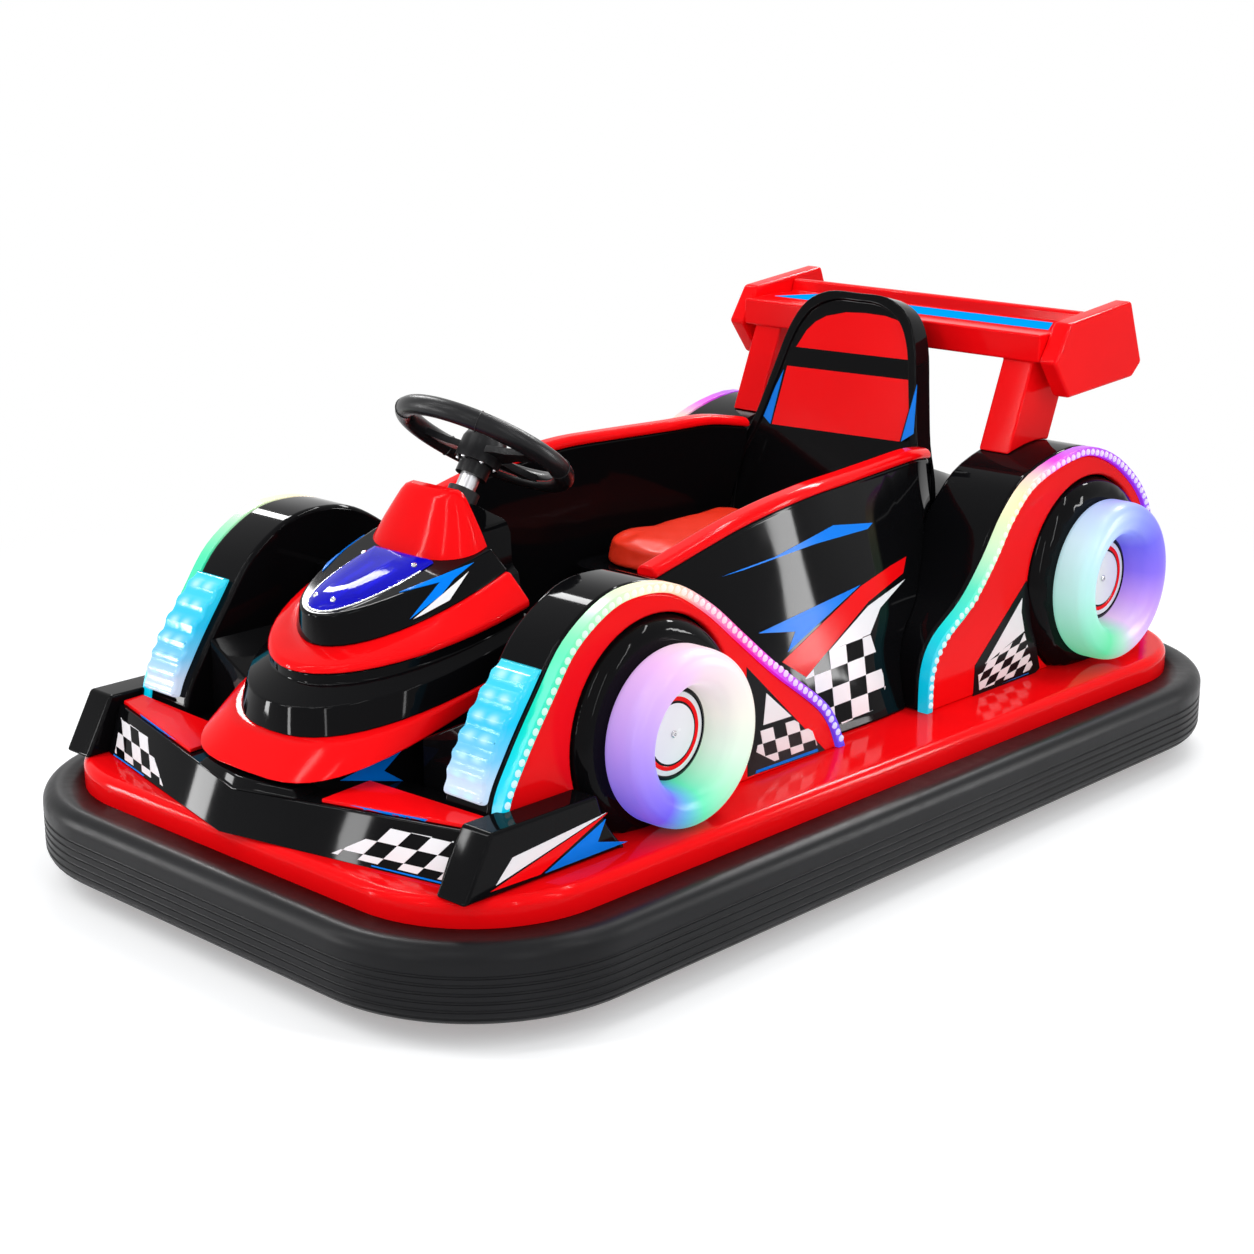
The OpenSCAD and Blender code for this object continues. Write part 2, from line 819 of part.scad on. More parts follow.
// Tray and raised braces between the nose and the front fenders
module nose_braces() {
    tray_z = deck_z + tray_h;
    out_x = fender_in_x - seat_gap;
    color("#17171a")
        both_sides() {
            difference() {
                translate([0, wing_rear_y + seat_gap, tray_z - tray_t])
                    cube([out_x, brace_front_y - wing_rear_y - 2 * seat_gap, tray_t]);
                foot_column(seat_gap);
            }
            difference() {
                across(0, out_x)
                    polygon([
                        [brace_front_y, deck_z], [brace_front_y, deck_z + brace_high_h],
                        [brace_rear_y, deck_z + brace_high_h], [brace_rear_y, deck_z]
                    ]);
                translate([brace_in_x, brace_front_y - overrun, deck_z + brace_low_h])
                    rotate([0, -atan((brace_high_h - brace_low_h) / (out_x - brace_in_x)), 0])
                        translate([-nose_half_w, 0, 0])
                            cube([2 * nose_half_w, nose_half_w, brace_high_h]);
                nose_column(seat_gap);
            }
        }
}

// Plan of the nose's foot, as a column that cuts what stands round it
module foot_column(gap) {
    translate([0, 0, deck_z - overrun])
        linear_extrude(brace_high_h + 2 * overrun)
            polygon([for (p = nose_ring(foot_inset - gap, foot_half_w + gap, 3, 0, 0)) [p[0], p[1]]]);
}

// Plan of the whole nose, as a column
module nose_column(gap) {
    translate([0, 0, deck_z - overrun])
        linear_extrude(brace_high_h + 2 * overrun)
            polygon([for (p = nose_ring(-gap, nose_half_w + gap, 3.5, 0, 0)) [p[0], p[1]]]);
}

// Front wing: shallow vee in plan with a leaning face
function wing_top_z(x, y) =
    deck_z + wing_h + wing_rise_x * abs(x) + wing_rise_y * (y - wing_tip_y - wing_face_lean);

function wing_ring(x) =
    let (
        share = abs(x) / wing_half_w,
        tip = lerp(wing_tip_y, wing_end_tip_y, share),
        top = tip + lerp(wing_face_lean, wing_end_lean, share)
    )
        [
            [x, tip, deck_z], [x, top, wing_top_z(x, top)],
            [x, wing_rear_y, wing_top_z(x, wing_rear_y)], [x, wing_rear_y, deck_z]
        ];

// Plan of the raised lip round the nose's chin, at one height, with its front along the wing's edge
function lip_ring(half_w, in, h) =
    let (y = wing_tip_y + wing_face_lean + in, z = deck_z + h)
        [
            [-half_w, lip_rear_y, z], [-half_w, y + lip_sweep_share * half_w, z], [0, y, z],
            [half_w, y + lip_sweep_share * half_w, z], [half_w, lip_rear_y, z]
        ];

module front_wing() {
    color("#111113")
        difference() {
            union() {
                loft([wing_ring(wing_half_w), wing_ring(0), wing_ring(-wing_half_w)]);
                loft([
                    lip_ring(lip_half_w, lip_in, lip_low_h), lip_ring(lip_half_w, lip_in, wing_h),
                    lip_ring(lip_top_half_w, lip_lean, lip_top_h)
                ]);
            }
            foot_column(seat_gap);
        }
}

function top_ring(x) =
    let (
        share = x / wing_half_w,
        tip = lerp(wing_tip_y + wing_face_lean, wing_end_tip_y + wing_end_lean, share) + top_margin,
        rear = wing_rear_y
    )
        [
            [x, tip, wing_top_z(x, tip) + seat_gap], [x, tip, wing_top_z(x, tip) + top_plate_t],
            [x, rear, wing_top_z(x, rear) + top_plate_t], [x, rear, wing_top_z(x, rear) + seat_gap]
        ];

module wing_tops() {
    color("#d8121a")
        both_sides()
            difference() {
                loft([top_ring(wing_half_w - top_margin), top_ring(top_in_x)]);
                foot_column(seat_gap);
            }
}

// Endplate of the front wing, with a hollow rear edge that follows the light wheel
module endplate() {
    low_x = wing_half_w + seat_gap;
    z1 = deck_z + endplate_h;
    rear_y = light_front[0];
    difference() {
        across(low_x, low_x + endplate_t)
            polygon([
                [endplate_front_y, deck_z], [endplate_front_y + endplate_lean, z1], [rear_y, z1], [rear_y, deck_z]
            ]);
        translate([0, rear_y, deck_z + light_front[1]])
            axis_across() cylinder(h = 2 * wing_half_w, r = light_front[2] + disc_over + endplate_gap, $fn = 96);
        across(0, fender_out_x + led_t + seat_gap) polygon(cutter(front_edge, seat_gap));
    }
}

module endplate_left() {
    color("#111113") endplate();
}

module endplate_right() {
    color("#111113") mirror([1, 0, 0]) endplate();
}

// Cowl between the lamp dome and the steering column
module dash_cowl() {
    l = nose_rear_y - cowl_front_y;
    front_in = cowl_front_y - nose_front_y;
    plane_h = tier_top_h - 2 * tier_slope * tier_top_in;
    color("#d8121a")
        difference() {
            loft([
                for (s = cowl_shares)
                    nose_ring(front_in + s[0] * l, s[1] * cowl_half_w, 2.6, cowl_low_h + s[2] * cowl_h, 0)
            ]);
            loft([
                nose_ring(-tier_top_in, nose_half_w, 2, plane_h - 2 * cowl_h, tier_slope),
                nose_ring(-tier_top_in, nose_half_w, 2, plane_h + seat_gap, tier_slope)
            ]);
        }
}

// Steering column's place: origin on the wheel's middle, its axis along Z
module on_column() {
    translate([0, steer_y, deck_z + steer_h]) rotate([-steer_lean, 0, 0]) children();
}

// Dash panel on a bulkhead that closes the nose towards the cockpit
module dash_panel() {
    z0 = deck_z + dash_low_h;
    y0 = nose_rear_y + seat_gap;
    l = dash_rear_y - y0;
    half = [for (s = dash_cross_shares) [s[0] * dash_half_w, z0 + s[1] * dash_h]];
    color("#111113")
        difference() {
            union() {
                intersection() {
                    across(-dash_half_w, dash_half_w) polygon(placed(dash_shares, y0, l, z0, dash_h));
                    translate([0, dash_rear_y + overrun, 0])
                        rotate([90, 0, 0])
                            linear_extrude(l + 2 * overrun)
                                polygon(concat(half, [for (p = reverse(half)) [-p[0], p[1]]]));
                }
                translate([-fender_in_x + seat_gap, y0, deck_z])
                    cube([2 * (fender_in_x - seat_gap), bulkhead_t, bulkhead_h]);
            }
            both_sides()
                translate([pocket_x, dash_rear_y - pocket_in, z0 + pocket_low_share * dash_h])
                    cube([pocket_w, 2 * pocket_in, pocket_h]);
            on_column()
                translate([0, 0, -bush_drop - bush_l]) cylinder(h = 4 * bush_l, r = bush_r + seat_gap);
        }
}

// Bearing bush of the steering column
module column_bush() {
    color("#2a2b2d")
        on_column()
            translate([0, 0, -bush_drop])
                difference() {
                    translate([0, 0, -bush_l]) cylinder(h = bush_l, r = bush_r);
                    translate([0, 0, -bush_l - overrun])
                        cylinder(h = bush_l + 2 * overrun, r = shaft_r + bore_play);
                }
}

module steering_shaft() {
    color("#b9bcc0")
        on_column() translate([0, 0, -shaft_l]) cylinder(h = shaft_l - hub_drop, r = shaft_r);
}

// Three-spoke steering wheel
module steering_wheel() {
    mid_r = steer_r - rim_r;
    dish = atan((hub_drop / 2) / mid_r);
    edge = [for (s = spoke_shares) [s[0] * mid_r, s[1] * spoke_w / 2]];
    color("#161617")
        on_column() {
            rotate_extrude($fn = 64) translate([mid_r, 0]) circle(rim_r, $fn = 20);
            translate([0, 0, -hub_drop]) cylinder(h = hub_drop, r = boss_r);
            cylinder(h = hub_cap_h, r1 = boss_r, r2 = boss_r - hub_cap_in);
            difference() {
                translate([0, 0, -hub_drop - collar_h]) cylinder(h = collar_h, r = collar_r);
                translate([0, 0, -hub_drop - 2 * collar_h])
                    cylinder(h = 2 * collar_h, r = shaft_r + bore_play);
            }
            for (a = [0, 180, 90])
                rotate(a)
                    translate([0, 0, -hub_drop / 2])
                        rotate([0, -dish, 0])
                            translate([0, 0, -spoke_t / 2])
                                linear_extrude(spoke_t)
                                    polygon(concat(edge, [for (p = reverse(edge)) [p[0], -p[1]]]));
        }
}

// Foot pedal on the pan's front wall
module pedal() {
    foot_z = under_deck_z - pan_depth + pan_wall + seat_gap;
    color("#3a3d40")
        translate([pedal_x - pedal_w / 2, pedal_foot_y, foot_z])
            rotate([-pedal_lean, 0, 0])
                translate([0, -pedal_l, 0])
                    cube([pedal_w, pedal_l, pedal_t]);
}

// Fender outlines from the shares, front and rear
front_edge = curve(placed(fender_front_shares, front_y0, front_l, deck_z, fender_front_h), front_steps);
rear_edge = curve(placed(fender_rear_shares, rear_y0, rear_l, deck_z, fender_rear_h), rear_steps);

// Fender outline with a gap outside it, closed below the deck
function cutter(edge, gap) =
    let (out = inset(edge, -gap))
        concat(
            [[out[0][0], deck_z - overrun]], out,
            [[out[len(out) - 1][0], deck_z - overrun]]
        );

// Keeps what lies above the deck
module above_deck() {
    intersection() {
        children();
        translate([-bumper_l, deck_z]) square([2 * bumper_l, bumper_l]);
    }
}

// Round opening of an arch, from x0 to x1
module arch(light, x0, x1) {
    translate([x0, light[0], deck_z + light[1]])
        axis_across() cylinder(h = x1 - x0, r = light[2] + disc_over + arch_gap, $fn = 96);
}

// Fender body with the pocket for the black disc
module fender(edge, in_x, light) {
    difference() {
        across(in_x, fender_out_x) polygon(edge);
        arch(light, fender_out_x - pocket_depth, fender_out_x + overrun);
    }
}

module fender_front_left() {
    color("#111113") fender(front_edge, fender_in_x, light_front);
}

module fender_front_right() {
    color("#111113") mirror([1, 0, 0]) fender(front_edge, fender_in_x, light_front);
}

module fender_rear_left() {
    color("#111113") fender(rear_edge, rear_in_x, light_rear);
}

module fender_rear_right() {
    color("#111113") mirror([1, 0, 0]) fender(rear_edge, rear_in_x, light_rear);
}

module fender_face(edge, light) {
    difference() {
        across(fender_out_x, fender_out_x + face_t)
            above_deck() polygon(inset(edge, led_w + seat_gap));
        arch(light, fender_out_x - overrun, fender_out_x + face_t + overrun);
    }
}

// Red face plates of all four fenders
module fender_faces() {
    color("#d8121a")
        both_sides() {
            fender_face(front_edge, light_front);
            fender_face(rear_edge, light_rear);
        }
}

// Light strips along the fenders' edges
module led_strips() {
    color("#9fe8ff")
        both_sides()
            for (edge = [front_edge, rear_edge])
                across(fender_out_x, fender_out_x + led_t)
                    above_deck() polygon(concat(edge, reverse(inset(edge, led_w))));
}

// Line that stands off the front slope of a front fender by the values given
function off_slope(foot, rises) = [
    for (i = [0 : len(foot) - 1])
        let (v = foot[min(i + 1, len(foot) - 1)] - foot[max(i - 1, 0)])
            foot[i] + rises[i] * [-v[1], v[0]] / norm(v)
];

// Wavy lamp blocks on the front slope of the front fenders
module front_lamps() {
    fine = curve(placed(fender_front_shares, front_y0, front_l, deck_z, fender_front_h), lamp_steps);
    ends = [for (share = lamp_span_shares) round(share * lamp_steps)];
    foot = [for (i = [ends[0] : ends[1]]) fine[i]];
    outer = off_slope(foot, [
        for (i = [0 : len(foot) - 1])
            let (t = i / (len(foot) - 1))
                lamp_proud * sqrt(sin(180 * lerp(lamp_end_shares[0], lamp_end_shares[1], t)))
                    + lamp_wave_h * sin(360 * lamp_waves * t)
    ]);
    seat = off_slope(foot, [for (p = foot) seat_gap]);
    color("#7fe6ff")
        both_sides()
            difference() {
                across(fender_in_x + lamp_in, fender_in_x + lamp_in + lamp_w)
                    polygon(concat(outer, reverse(seat)));
                across(fender_in_x, fender_out_x) polygon(cutter(front_edge, seat_gap));
            }
}

// Place of one light wheel on both sides, its axis across the car
module at_light(light) {
    both_sides() translate([0, light[0], deck_z + light[1]]) axis_across() children();
}

// Black discs that stand for the tyres, cut flat where they meet the deck
module tyre_discs() {
    low = fender_out_x - pocket_depth + seat_gap;
    t = disc_out_x - low;
    color("#131314")
        difference() {
            for (light = [light_front, light_rear]) {
                r = light[2] + disc_over;
                flank = [
                    for (i = [0 : disc_steps])
                        let (share = i / disc_steps, a = lerp(-disc_turn, disc_turn, share))
                            [
                                r - disc_bulge + disc_bulge * cos(a) * cos(a),
                                t * lerp(disc_flank_shares[0], disc_flank_shares[1], share)
                            ]
                ];
                at_light(light)
                    translate([0, 0, low])
                        rotate_extrude($fn = 96)
                            polygon(concat(
                                [[0, 0], [r - disc_bulge, 0]], flank, [[r - 2 * disc_bulge, t], [0, t]]
                            ));
            }
            translate([-bumper_w, -bumper_l, deck_z - bumper_l])
                cube([2 * bumper_w, 2 * bumper_l, bumper_l]);
        }
}

// Moulded light rings
module light_rings() {
    color("#f1f4ff")
        for (light = [light_front, light_rear])
            at_light(light)
                translate([0, 0, disc_out_x + seat_gap])
                    rotate_extrude($fn = 96) {
                        w = light[2] - ring_hole_r;
                        translate([ring_hole_r, 0]) square([w, ring_t - ring_round]);
                        translate([ring_hole_r + ring_round, 0]) square([w - 2 * ring_round, ring_t]);
                        for (r = [ring_hole_r + ring_round, light[2] - ring_round])
                            translate([r, ring_t - ring_round]) circle(ring_round);
                    }
}

// Dished hub caps with a raised middle
module hub_caps() {
    color("#eceff2")
        for (light = [light_front, light_rear])
            at_light(light)
                translate([0, 0, disc_out_x + seat_gap])
                    rotate_extrude($fn = 64)
                        polygon([
                            [0, 0], [cap_r, 0], [cap_r, cap_t], [cap_r - cap_dish / 2, cap_t],
                            [cap_r - cap_dish, cap_t - cap_dish], [cap_r / 3, cap_t - cap_dish],
                            [0, cap_t - cap_dish / 2]
                        ]);
}

// Side pods: the cockpit's walls, with a leaning flank
pod_path = curve(pod_shares, pod_steps);

function pod_ring(s, gap = 0) =
    let (
        y = pod_y0 + s[0] * pod_l,
        foot = pod_foot_x * s[1],
        rim = pod_rim_x * s[2],
        top = deck_z + pod_rim_h * s[3]
    )
        [
            [pod_in_x - pod_foot_in, y, deck_z], [foot, y, deck_z],
            each [for (c = pod_crease_shares) [lerp(foot, rim, c[0]), y, lerp(deck_z, top, c[1])]],
            [rim, y, top - trim_h], [rim, y, top - gap], [rim - pod_rim_w, y, top - gap],
            [min(rim - pod_rim_w, pod_in_x), y, lerp(deck_z, top, pod_wall_share)]
        ];

module side_pod() {
    difference() {
        loft([for (s = reverse(pod_path)) pod_ring(s, trim_h / 2)]);
        across(fender_in_x - seat_gap, 2 * fender_out_x) polygon(cutter(front_edge, seat_gap));
        across(rear_in_x - seat_gap, 2 * fender_out_x) polygon(cutter(rear_edge, seat_gap));
        on_back()
            translate([0, 0, -seat_gap])
                linear_extrude(back_t + 2 * seat_gap) polygon(back_outline(-seat_gap));
    }
}

module side_pod_left() {
    color("#111113") side_pod();
}

module side_pod_right() {
    color("#111113") mirror([1, 0, 0]) side_pod();
}

// Red caps along the pods' rims
module rim_trims() {
    color("#d8121a")
        both_sides()
            loft([
                for (s = reverse(pod_path))
                    let (
                        y = pod_y0 + s[0] * pod_l,
                        rim = pod_rim_x * s[2] + trim_over,
                        low = deck_z + pod_rim_h * s[3] - trim_h / 2 + seat_gap,
                        w = pod_rim_w + 2 * trim_over
                    )
                        concat(
                            [[rim - w, y, low]],
                            [for (c = trim_shares) [rim - c[0] * w, y, low + c[1] * trim_h]]
                        )
            ]);
}

// Seat shell: open base under the cushion, and the leaning back with a raised border
function back_outline(in) = [
    for (side = [1, -1])
        let (
            half = curve(
                [for (s = back_shares) [side * (back_half_w * s[0] - in * sign(s[0])), (back_h - in) * s[1]]],
                back_steps
            )
        )
            each side > 0 ? half : reverse(half)
];

// Seat back's place: origin at the foot of its rear face, its outline up along Y
module on_back() {
    translate([0, back_foot_y, deck_z + back_foot_h])
        rotate([90 - back_lean, 0, 0]) translate([0, 0, -back_t]) children();
}

module seat_shell() {
    foot_z = under_deck_z - pan_depth + pan_wall;
    base_h = deck_z + cushion_top_h - cushion_h - seat_gap - foot_z;
    half_w = cushion_half_w + base_over;
    half_l = (base_rear_y - cushion_front_y + base_lip) / 2;
    color("#111113") {
        translate([0, base_rear_y - half_l, foot_z])
            difference() {
                linear_extrude(base_h) rounded_rect(half_w, half_l, base_round);
                translate([0, 0, -overrun])
                    linear_extrude(base_h - base_wall + overrun)
                        rounded_rect(half_w - base_wall, half_l - base_wall, base_round - base_wall);
            }
        on_back() {
            linear_extrude(back_t - border_h) polygon(back_outline(0));
            linear_extrude(back_t)
                difference() {
                    polygon(back_outline(0));
                    polygon(back_outline(border_w));
                }
        }
    }
}

module seat_cushion() {
    color("#e0391f")
        translate([0, (cushion_front_y + cushion_rear_y) / 2, deck_z + cushion_top_h - cushion_h])
            linear_extrude(cushion_h)
                rounded_rect(cushion_half_w, (cushion_rear_y - cushion_front_y) / 2, cushion_round);
}

// Engine-cover style deck behind the seat
tail_path = curve(tail_shares, tail_steps);

module rear_deck() {
    color("#111113")
        difference() {
            loft([
                for (s = reverse(tail_path))
                    let (
                        y = lerp(tail_front_y, tail_rear_y, s[0]),
                        half = [
                            for (c = tail_cross_shares) [c[0] * tail_half_w, y, deck_z + c[1] * tail_h * s[1]]
                        ]
                    )
                        concat(
                            [[-tail_half_w, y, deck_z], [tail_half_w, y, deck_z]],
                            half,
                            [for (p = reverse(half)) [-p[0], p[1], p[2]]]
                        )
            ]);
            on_back()
                translate([-tail_half_w - overrun, -back_t, -seat_gap])
                    cube([2 * (tail_half_w + overrun), back_h, back_h]);
        }
}

// Rear wing: beam on two leaning struts
module rear_wing() {
    z0 = deck_z + beam_low_h;
    top_z = z0 + strut_top_share * beam_h;
    mid_z = deck_z + fender_rear_h - beam_h;
    foot_z = deck_z + light_rear[1];
    color("#d8121a") {
        across(-beam_half_w, beam_half_w) polygon(placed(beam_shares, beam_front_y, beam_l, z0, beam_h));
        both_sides()
            difference() {
                across(strut_in_x, strut_in_x + strut_w)
                    polygon([
                        [strut_foot_y, foot_z], [strut_foot_y, mid_z],
                        [strut_foot_y + strut_lean, top_z], [strut_foot_y + strut_lean + strut_l, top_z],
                        [strut_foot_y + strut_l, mid_z], [strut_foot_y + strut_l, foot_z]
                    ]);
                across(rear_in_x, fender_out_x) polygon(cutter(rear_edge, seat_gap));
            }
    }
}

// Endplates of the rear wing
module wing_endplates() {
    low_z = deck_z + tail_plate_low_h;
    color("#d8121a")
        both_sides()
            across(beam_half_w + seat_gap, beam_half_w + tail_plate_t)
                polygon(placed(tail_plate_shares, tail_plate_y, tail_plate_l, low_z, tail_plate_h));
}

bumper_ring();
hull();
floor_pan();
chassis_frame();
battery_block();
rear_axle();
rear_wheel_left();
rear_wheel_right();
steer_fork();
drive_motor();
drive_wheel();
front_wing();
wing_tops();
endplate_left();
endplate_right();
nose_foot();
nose_base();
nose_band();
nose_collar();
nose_tier();
lamp_dome();
nose_braces();
dash_cowl();
dash_panel();
column_bush();
steering_shaft();
steering_wheel();
pedal();
fender_front_left();
fender_front_right();
fender_rear_left();
fender_rear_right();
fender_faces();
led_strips();
front_lamps();
tyre_discs();
light_rings();
hub_caps();
side_pod_left();
side_pod_right();
rim_trims();
seat_shell();
seat_cushion();
rear_deck();
rear_wing();
wing_endplates();
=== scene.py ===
import json
from math import atan2, cos, pi, radians, sin, sqrt

import bmesh
import bpy
from mathutils import Matrix, Vector
from mathutils.bvhtree import BVHTree
from mathutils.geometry import convex_hull_2d


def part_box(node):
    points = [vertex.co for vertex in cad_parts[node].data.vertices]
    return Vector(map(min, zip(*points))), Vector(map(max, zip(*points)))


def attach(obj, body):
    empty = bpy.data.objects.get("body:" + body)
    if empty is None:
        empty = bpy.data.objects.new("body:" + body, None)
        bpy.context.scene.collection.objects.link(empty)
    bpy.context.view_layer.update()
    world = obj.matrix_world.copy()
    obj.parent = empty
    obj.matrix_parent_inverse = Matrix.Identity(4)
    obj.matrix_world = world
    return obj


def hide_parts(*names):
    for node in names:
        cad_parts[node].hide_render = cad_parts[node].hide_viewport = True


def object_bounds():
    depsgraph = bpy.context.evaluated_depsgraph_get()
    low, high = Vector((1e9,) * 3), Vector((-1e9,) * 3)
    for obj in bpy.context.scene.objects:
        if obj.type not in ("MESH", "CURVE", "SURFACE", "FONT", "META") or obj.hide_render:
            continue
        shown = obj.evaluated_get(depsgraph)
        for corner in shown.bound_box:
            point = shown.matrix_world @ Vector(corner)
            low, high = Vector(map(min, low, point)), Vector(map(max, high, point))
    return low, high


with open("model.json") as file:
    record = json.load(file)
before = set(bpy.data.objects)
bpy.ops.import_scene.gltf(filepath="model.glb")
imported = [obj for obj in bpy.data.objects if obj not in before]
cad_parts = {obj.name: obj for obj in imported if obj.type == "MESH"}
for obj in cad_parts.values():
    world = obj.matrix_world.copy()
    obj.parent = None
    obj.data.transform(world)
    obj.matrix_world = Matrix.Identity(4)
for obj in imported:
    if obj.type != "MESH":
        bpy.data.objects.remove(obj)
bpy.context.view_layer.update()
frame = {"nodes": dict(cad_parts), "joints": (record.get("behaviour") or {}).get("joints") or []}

NODES = frame["nodes"]
SCENE = bpy.context.scene
MM = 0.001
TURN = 2 * pi
DOWN = Vector((0, 0, -1))
FORWARD = Vector((0, -1, 0))
# Rays that look for a surface start this far off, outside the object.
FAR = 3.0

# The camera that took the photograph, and the frame its pixels are counted in.
CAMERA_PLACE = Vector((2.426, -2.6419, 1.315))
CAMERA_AZIMUTH = radians(43.5476)
CAMERA_ELEVATION = radians(16.0044)
CAMERA_LENS = 66.57
CAMERA_SENSOR = 36.0
PHOTO_SIDE = 1254.0

# Colours, linear.
RED = (0.86, 0.003, 0.005)
BLACK = (0.006, 0.006, 0.007)
DEEP_BLACK = (0.003, 0.003, 0.0035)
DULL_BLACK = (0.012, 0.012, 0.013)
GRIP_BLACK = (0.009, 0.009, 0.01)
RUBBER = (0.011, 0.011, 0.012)
TYRE = (0.02, 0.02, 0.021)
IRON = (0.02, 0.021, 0.023)
CASE = (0.03, 0.03, 0.034)
STEEL = (0.5, 0.5, 0.52)
BRIGHT_STEEL = (0.62, 0.62, 0.64)
ALLOY = (0.36, 0.37, 0.39)
WHITE = (0.82, 0.82, 0.84)
CAP = (0.78, 0.78, 0.8)
BLUE = (0.0, 0.2, 0.83)
SKY = (0.0, 0.3, 0.8)
VINYL = (0.86, 0.035, 0.012)
THREAD = (0.5, 0.01, 0.015)
LENS = (0.75, 0.01, 0.015)
DOME = (0.008, 0.006, 0.5)
DOME_LAMP = (0.12, 0.14, 1.0)
BULB = (0.6, 0.97, 1.0, 1)

# Paints: their noise, and how far tint, gloss and grain follow it.
NOISE_DETAIL = 3.0
TINT_BAND = (0.3, 0.7)
PAINT_CLOUD = 5.0
GLOSS_CLOUD = 45.0
GLOSS_SPREAD = 0.25
GRAIN_DEPTH = 0.0002
COAT_ROUGH = 0.04
# Lamps: roughness, gloss, and the size, strength and depth of their grain.
STRIP_COVER = (0.3, 0.5, (300.0, 0.05, 0.0003))
RING_COVER = (0.3, 0.25, (60.0, 0.02, 0.001))
LAMP_COVER = (0.14, 0.3, (45.0, 0.2, 0.003))
RING_GLOW = 0.55
GLOW_CLOUD = 25.0
GLOW_DARK = 0.9
GLOW_ROUGH = 0.3
# The clear dome.
DOME_CLOUD = 12.0
DOME_DARK = 0.85
DOME_ROUGH = 0.05
DOME_THROUGH = 0.45
DOME_GLOW = 0.3
DOME_IOR = 1.2
DOME_SPECULAR = 0.3
DOME_GRAIN = (40.0, 0.04, 0.0006)
# The two rows of bulbs in a front lamp block.
BULB_MID = 0.331
BULB_SPREAD = 0.014
BULB_PITCH = 0.0235
BULB_FALL = -2.2
BULB_SHARE = 0.75


# Materials

def shader(name):
    mat = bpy.data.materials.new(name)
    mat.use_nodes = True
    tree = mat.node_tree
    return mat, tree, tree.nodes["Principled BSDF"]


def fill(node, inputs):
    """Sets a node's inputs: a socket is linked, anything else is a plain value."""
    for key, value in inputs.items():
        if isinstance(value, bpy.types.NodeSocket):
            node.id_data.links.new(value, node.inputs[key])
        else:
            node.inputs[key].default_value = value


def add_node(tree, kind, inputs, **settings):
    """Adds a node and returns its outputs."""
    node = tree.nodes.new(kind)
    for key, value in settings.items():
        setattr(node, key, value)
    fill(node, inputs)
    return node.outputs


def object_place(tree):
    return add_node(tree, "ShaderNodeTexCoord", {})["Object"]


def axes(tree, vector):
    return add_node(tree, "ShaderNodeSeparateXYZ", {"Vector": vector})


def noise(tree, scale):
    inputs = {"Scale": scale, "Detail": NOISE_DETAIL, "Vector": object_place(tree)}
    return add_node(tree, "ShaderNodeTexNoise", inputs)["Fac"]


def ramp(tree, value, stops):
    colours = add_node(tree, "ShaderNodeValToRGB", {"Fac": value})["Color"]
    e = colours.node.color_ramp.elements
    for k in (0, -1):
        e[k].position = stops[k][0]
        e[k].color = (*stops[k][1], 1)
    for at, colour in stops[1:-1]:
        e.new(at).color = (*colour, 1)
    return colours


def mapped(tree, value, source=(0.0, 1.0), target=(0.0, 1.0), curve="LINEAR"):
    inputs = {"Value": value, "From Min": source[0], "From Max": source[1],
              "To Min": target[0], "To Max": target[1]}
    return add_node(tree, "ShaderNodeMapRange", inputs, interpolation_type=curve)["Result"]


def calc(tree, operation, *values):
    return add_node(tree, "ShaderNodeMath", dict(enumerate(values)), operation=operation)["Value"]


def shaded(colour, k):
    return tuple(min(1.0, c * k) for c in colour)


def cloudy(tree, scale, dark, light):
    """A colour that drifts between two tones."""
    return ramp(tree, noise(tree, scale), [(TINT_BAND[0], dark), (TINT_BAND[1], light)])


def banded(tree, coordinate, stops):
    """The colour at a coordinate, from (coordinate, colour) stops."""
    first, last = stops[0][0], stops[-1][0]
    part = mapped(tree, coordinate, (first, last))
    return ramp(tree, part, [((at - first) / (last - first), rgb) for at, rgb in stops])


def add_grain(tree, bsdf, scale, strength, distance):
    inputs = {"Strength": strength, "Distance": distance, "Height": noise(tree, scale)}
    fill(bsdf, {"Normal": add_node(tree, "ShaderNodeBump", inputs)["Normal"]})


def paint(name, colour, rough, coat=0.0, metal=0.0, specular=0.5, vary=0.08, grain=500.0, bump=0.03):
    mat, tree, bsdf = shader(name)
    gloss = (rough * (1 - GLOSS_SPREAD), rough * (1 + GLOSS_SPREAD))
    fill(bsdf, {
        "Base Color": cloudy(tree, PAINT_CLOUD, shaded(colour, 1 - vary), shaded(colour, 1 + vary)),
        "Roughness": mapped(tree, noise(tree, GLOSS_CLOUD), target=gloss),
        "Metallic": metal, "Specular IOR Level": specular, "Coat Weight": coat, "Coat Roughness": COAT_ROUGH,
    })
    add_grain(tree, bsdf, grain, bump, GRAIN_DEPTH)
    return mat


def self_lit(tree, bsdf, colour, strength, cover):
    """A lamp's cover: a share of its colour is light, the rest is paint."""
    rough, specular, grain = cover
    inputs = {0: colour, "Scale": 1 - strength}
    rest = add_node(tree, "ShaderNodeVectorMath", inputs, operation="SCALE")["Vector"]
    fill(bsdf, {"Base Color": rest, "Emission Color": colour, "Emission Strength": strength,
                "Roughness": rough, "Specular IOR Level": specular})
    add_grain(tree, bsdf, *grain)


def strip_light(name, strength, pale):
    """A light strip whose colour runs along the car, made paler by a share of white."""
    mat, tree, bsdf = shader(name)
    stops = [(y, tuple(c + (1 - c) * pale for c in rgb)) for y, rgb in STRIP_STOPS]
    colour = banded(tree, axes(tree, object_place(tree))["Y"], stops)
    self_lit(tree, bsdf, colour, strength, STRIP_COVER)
    return mat


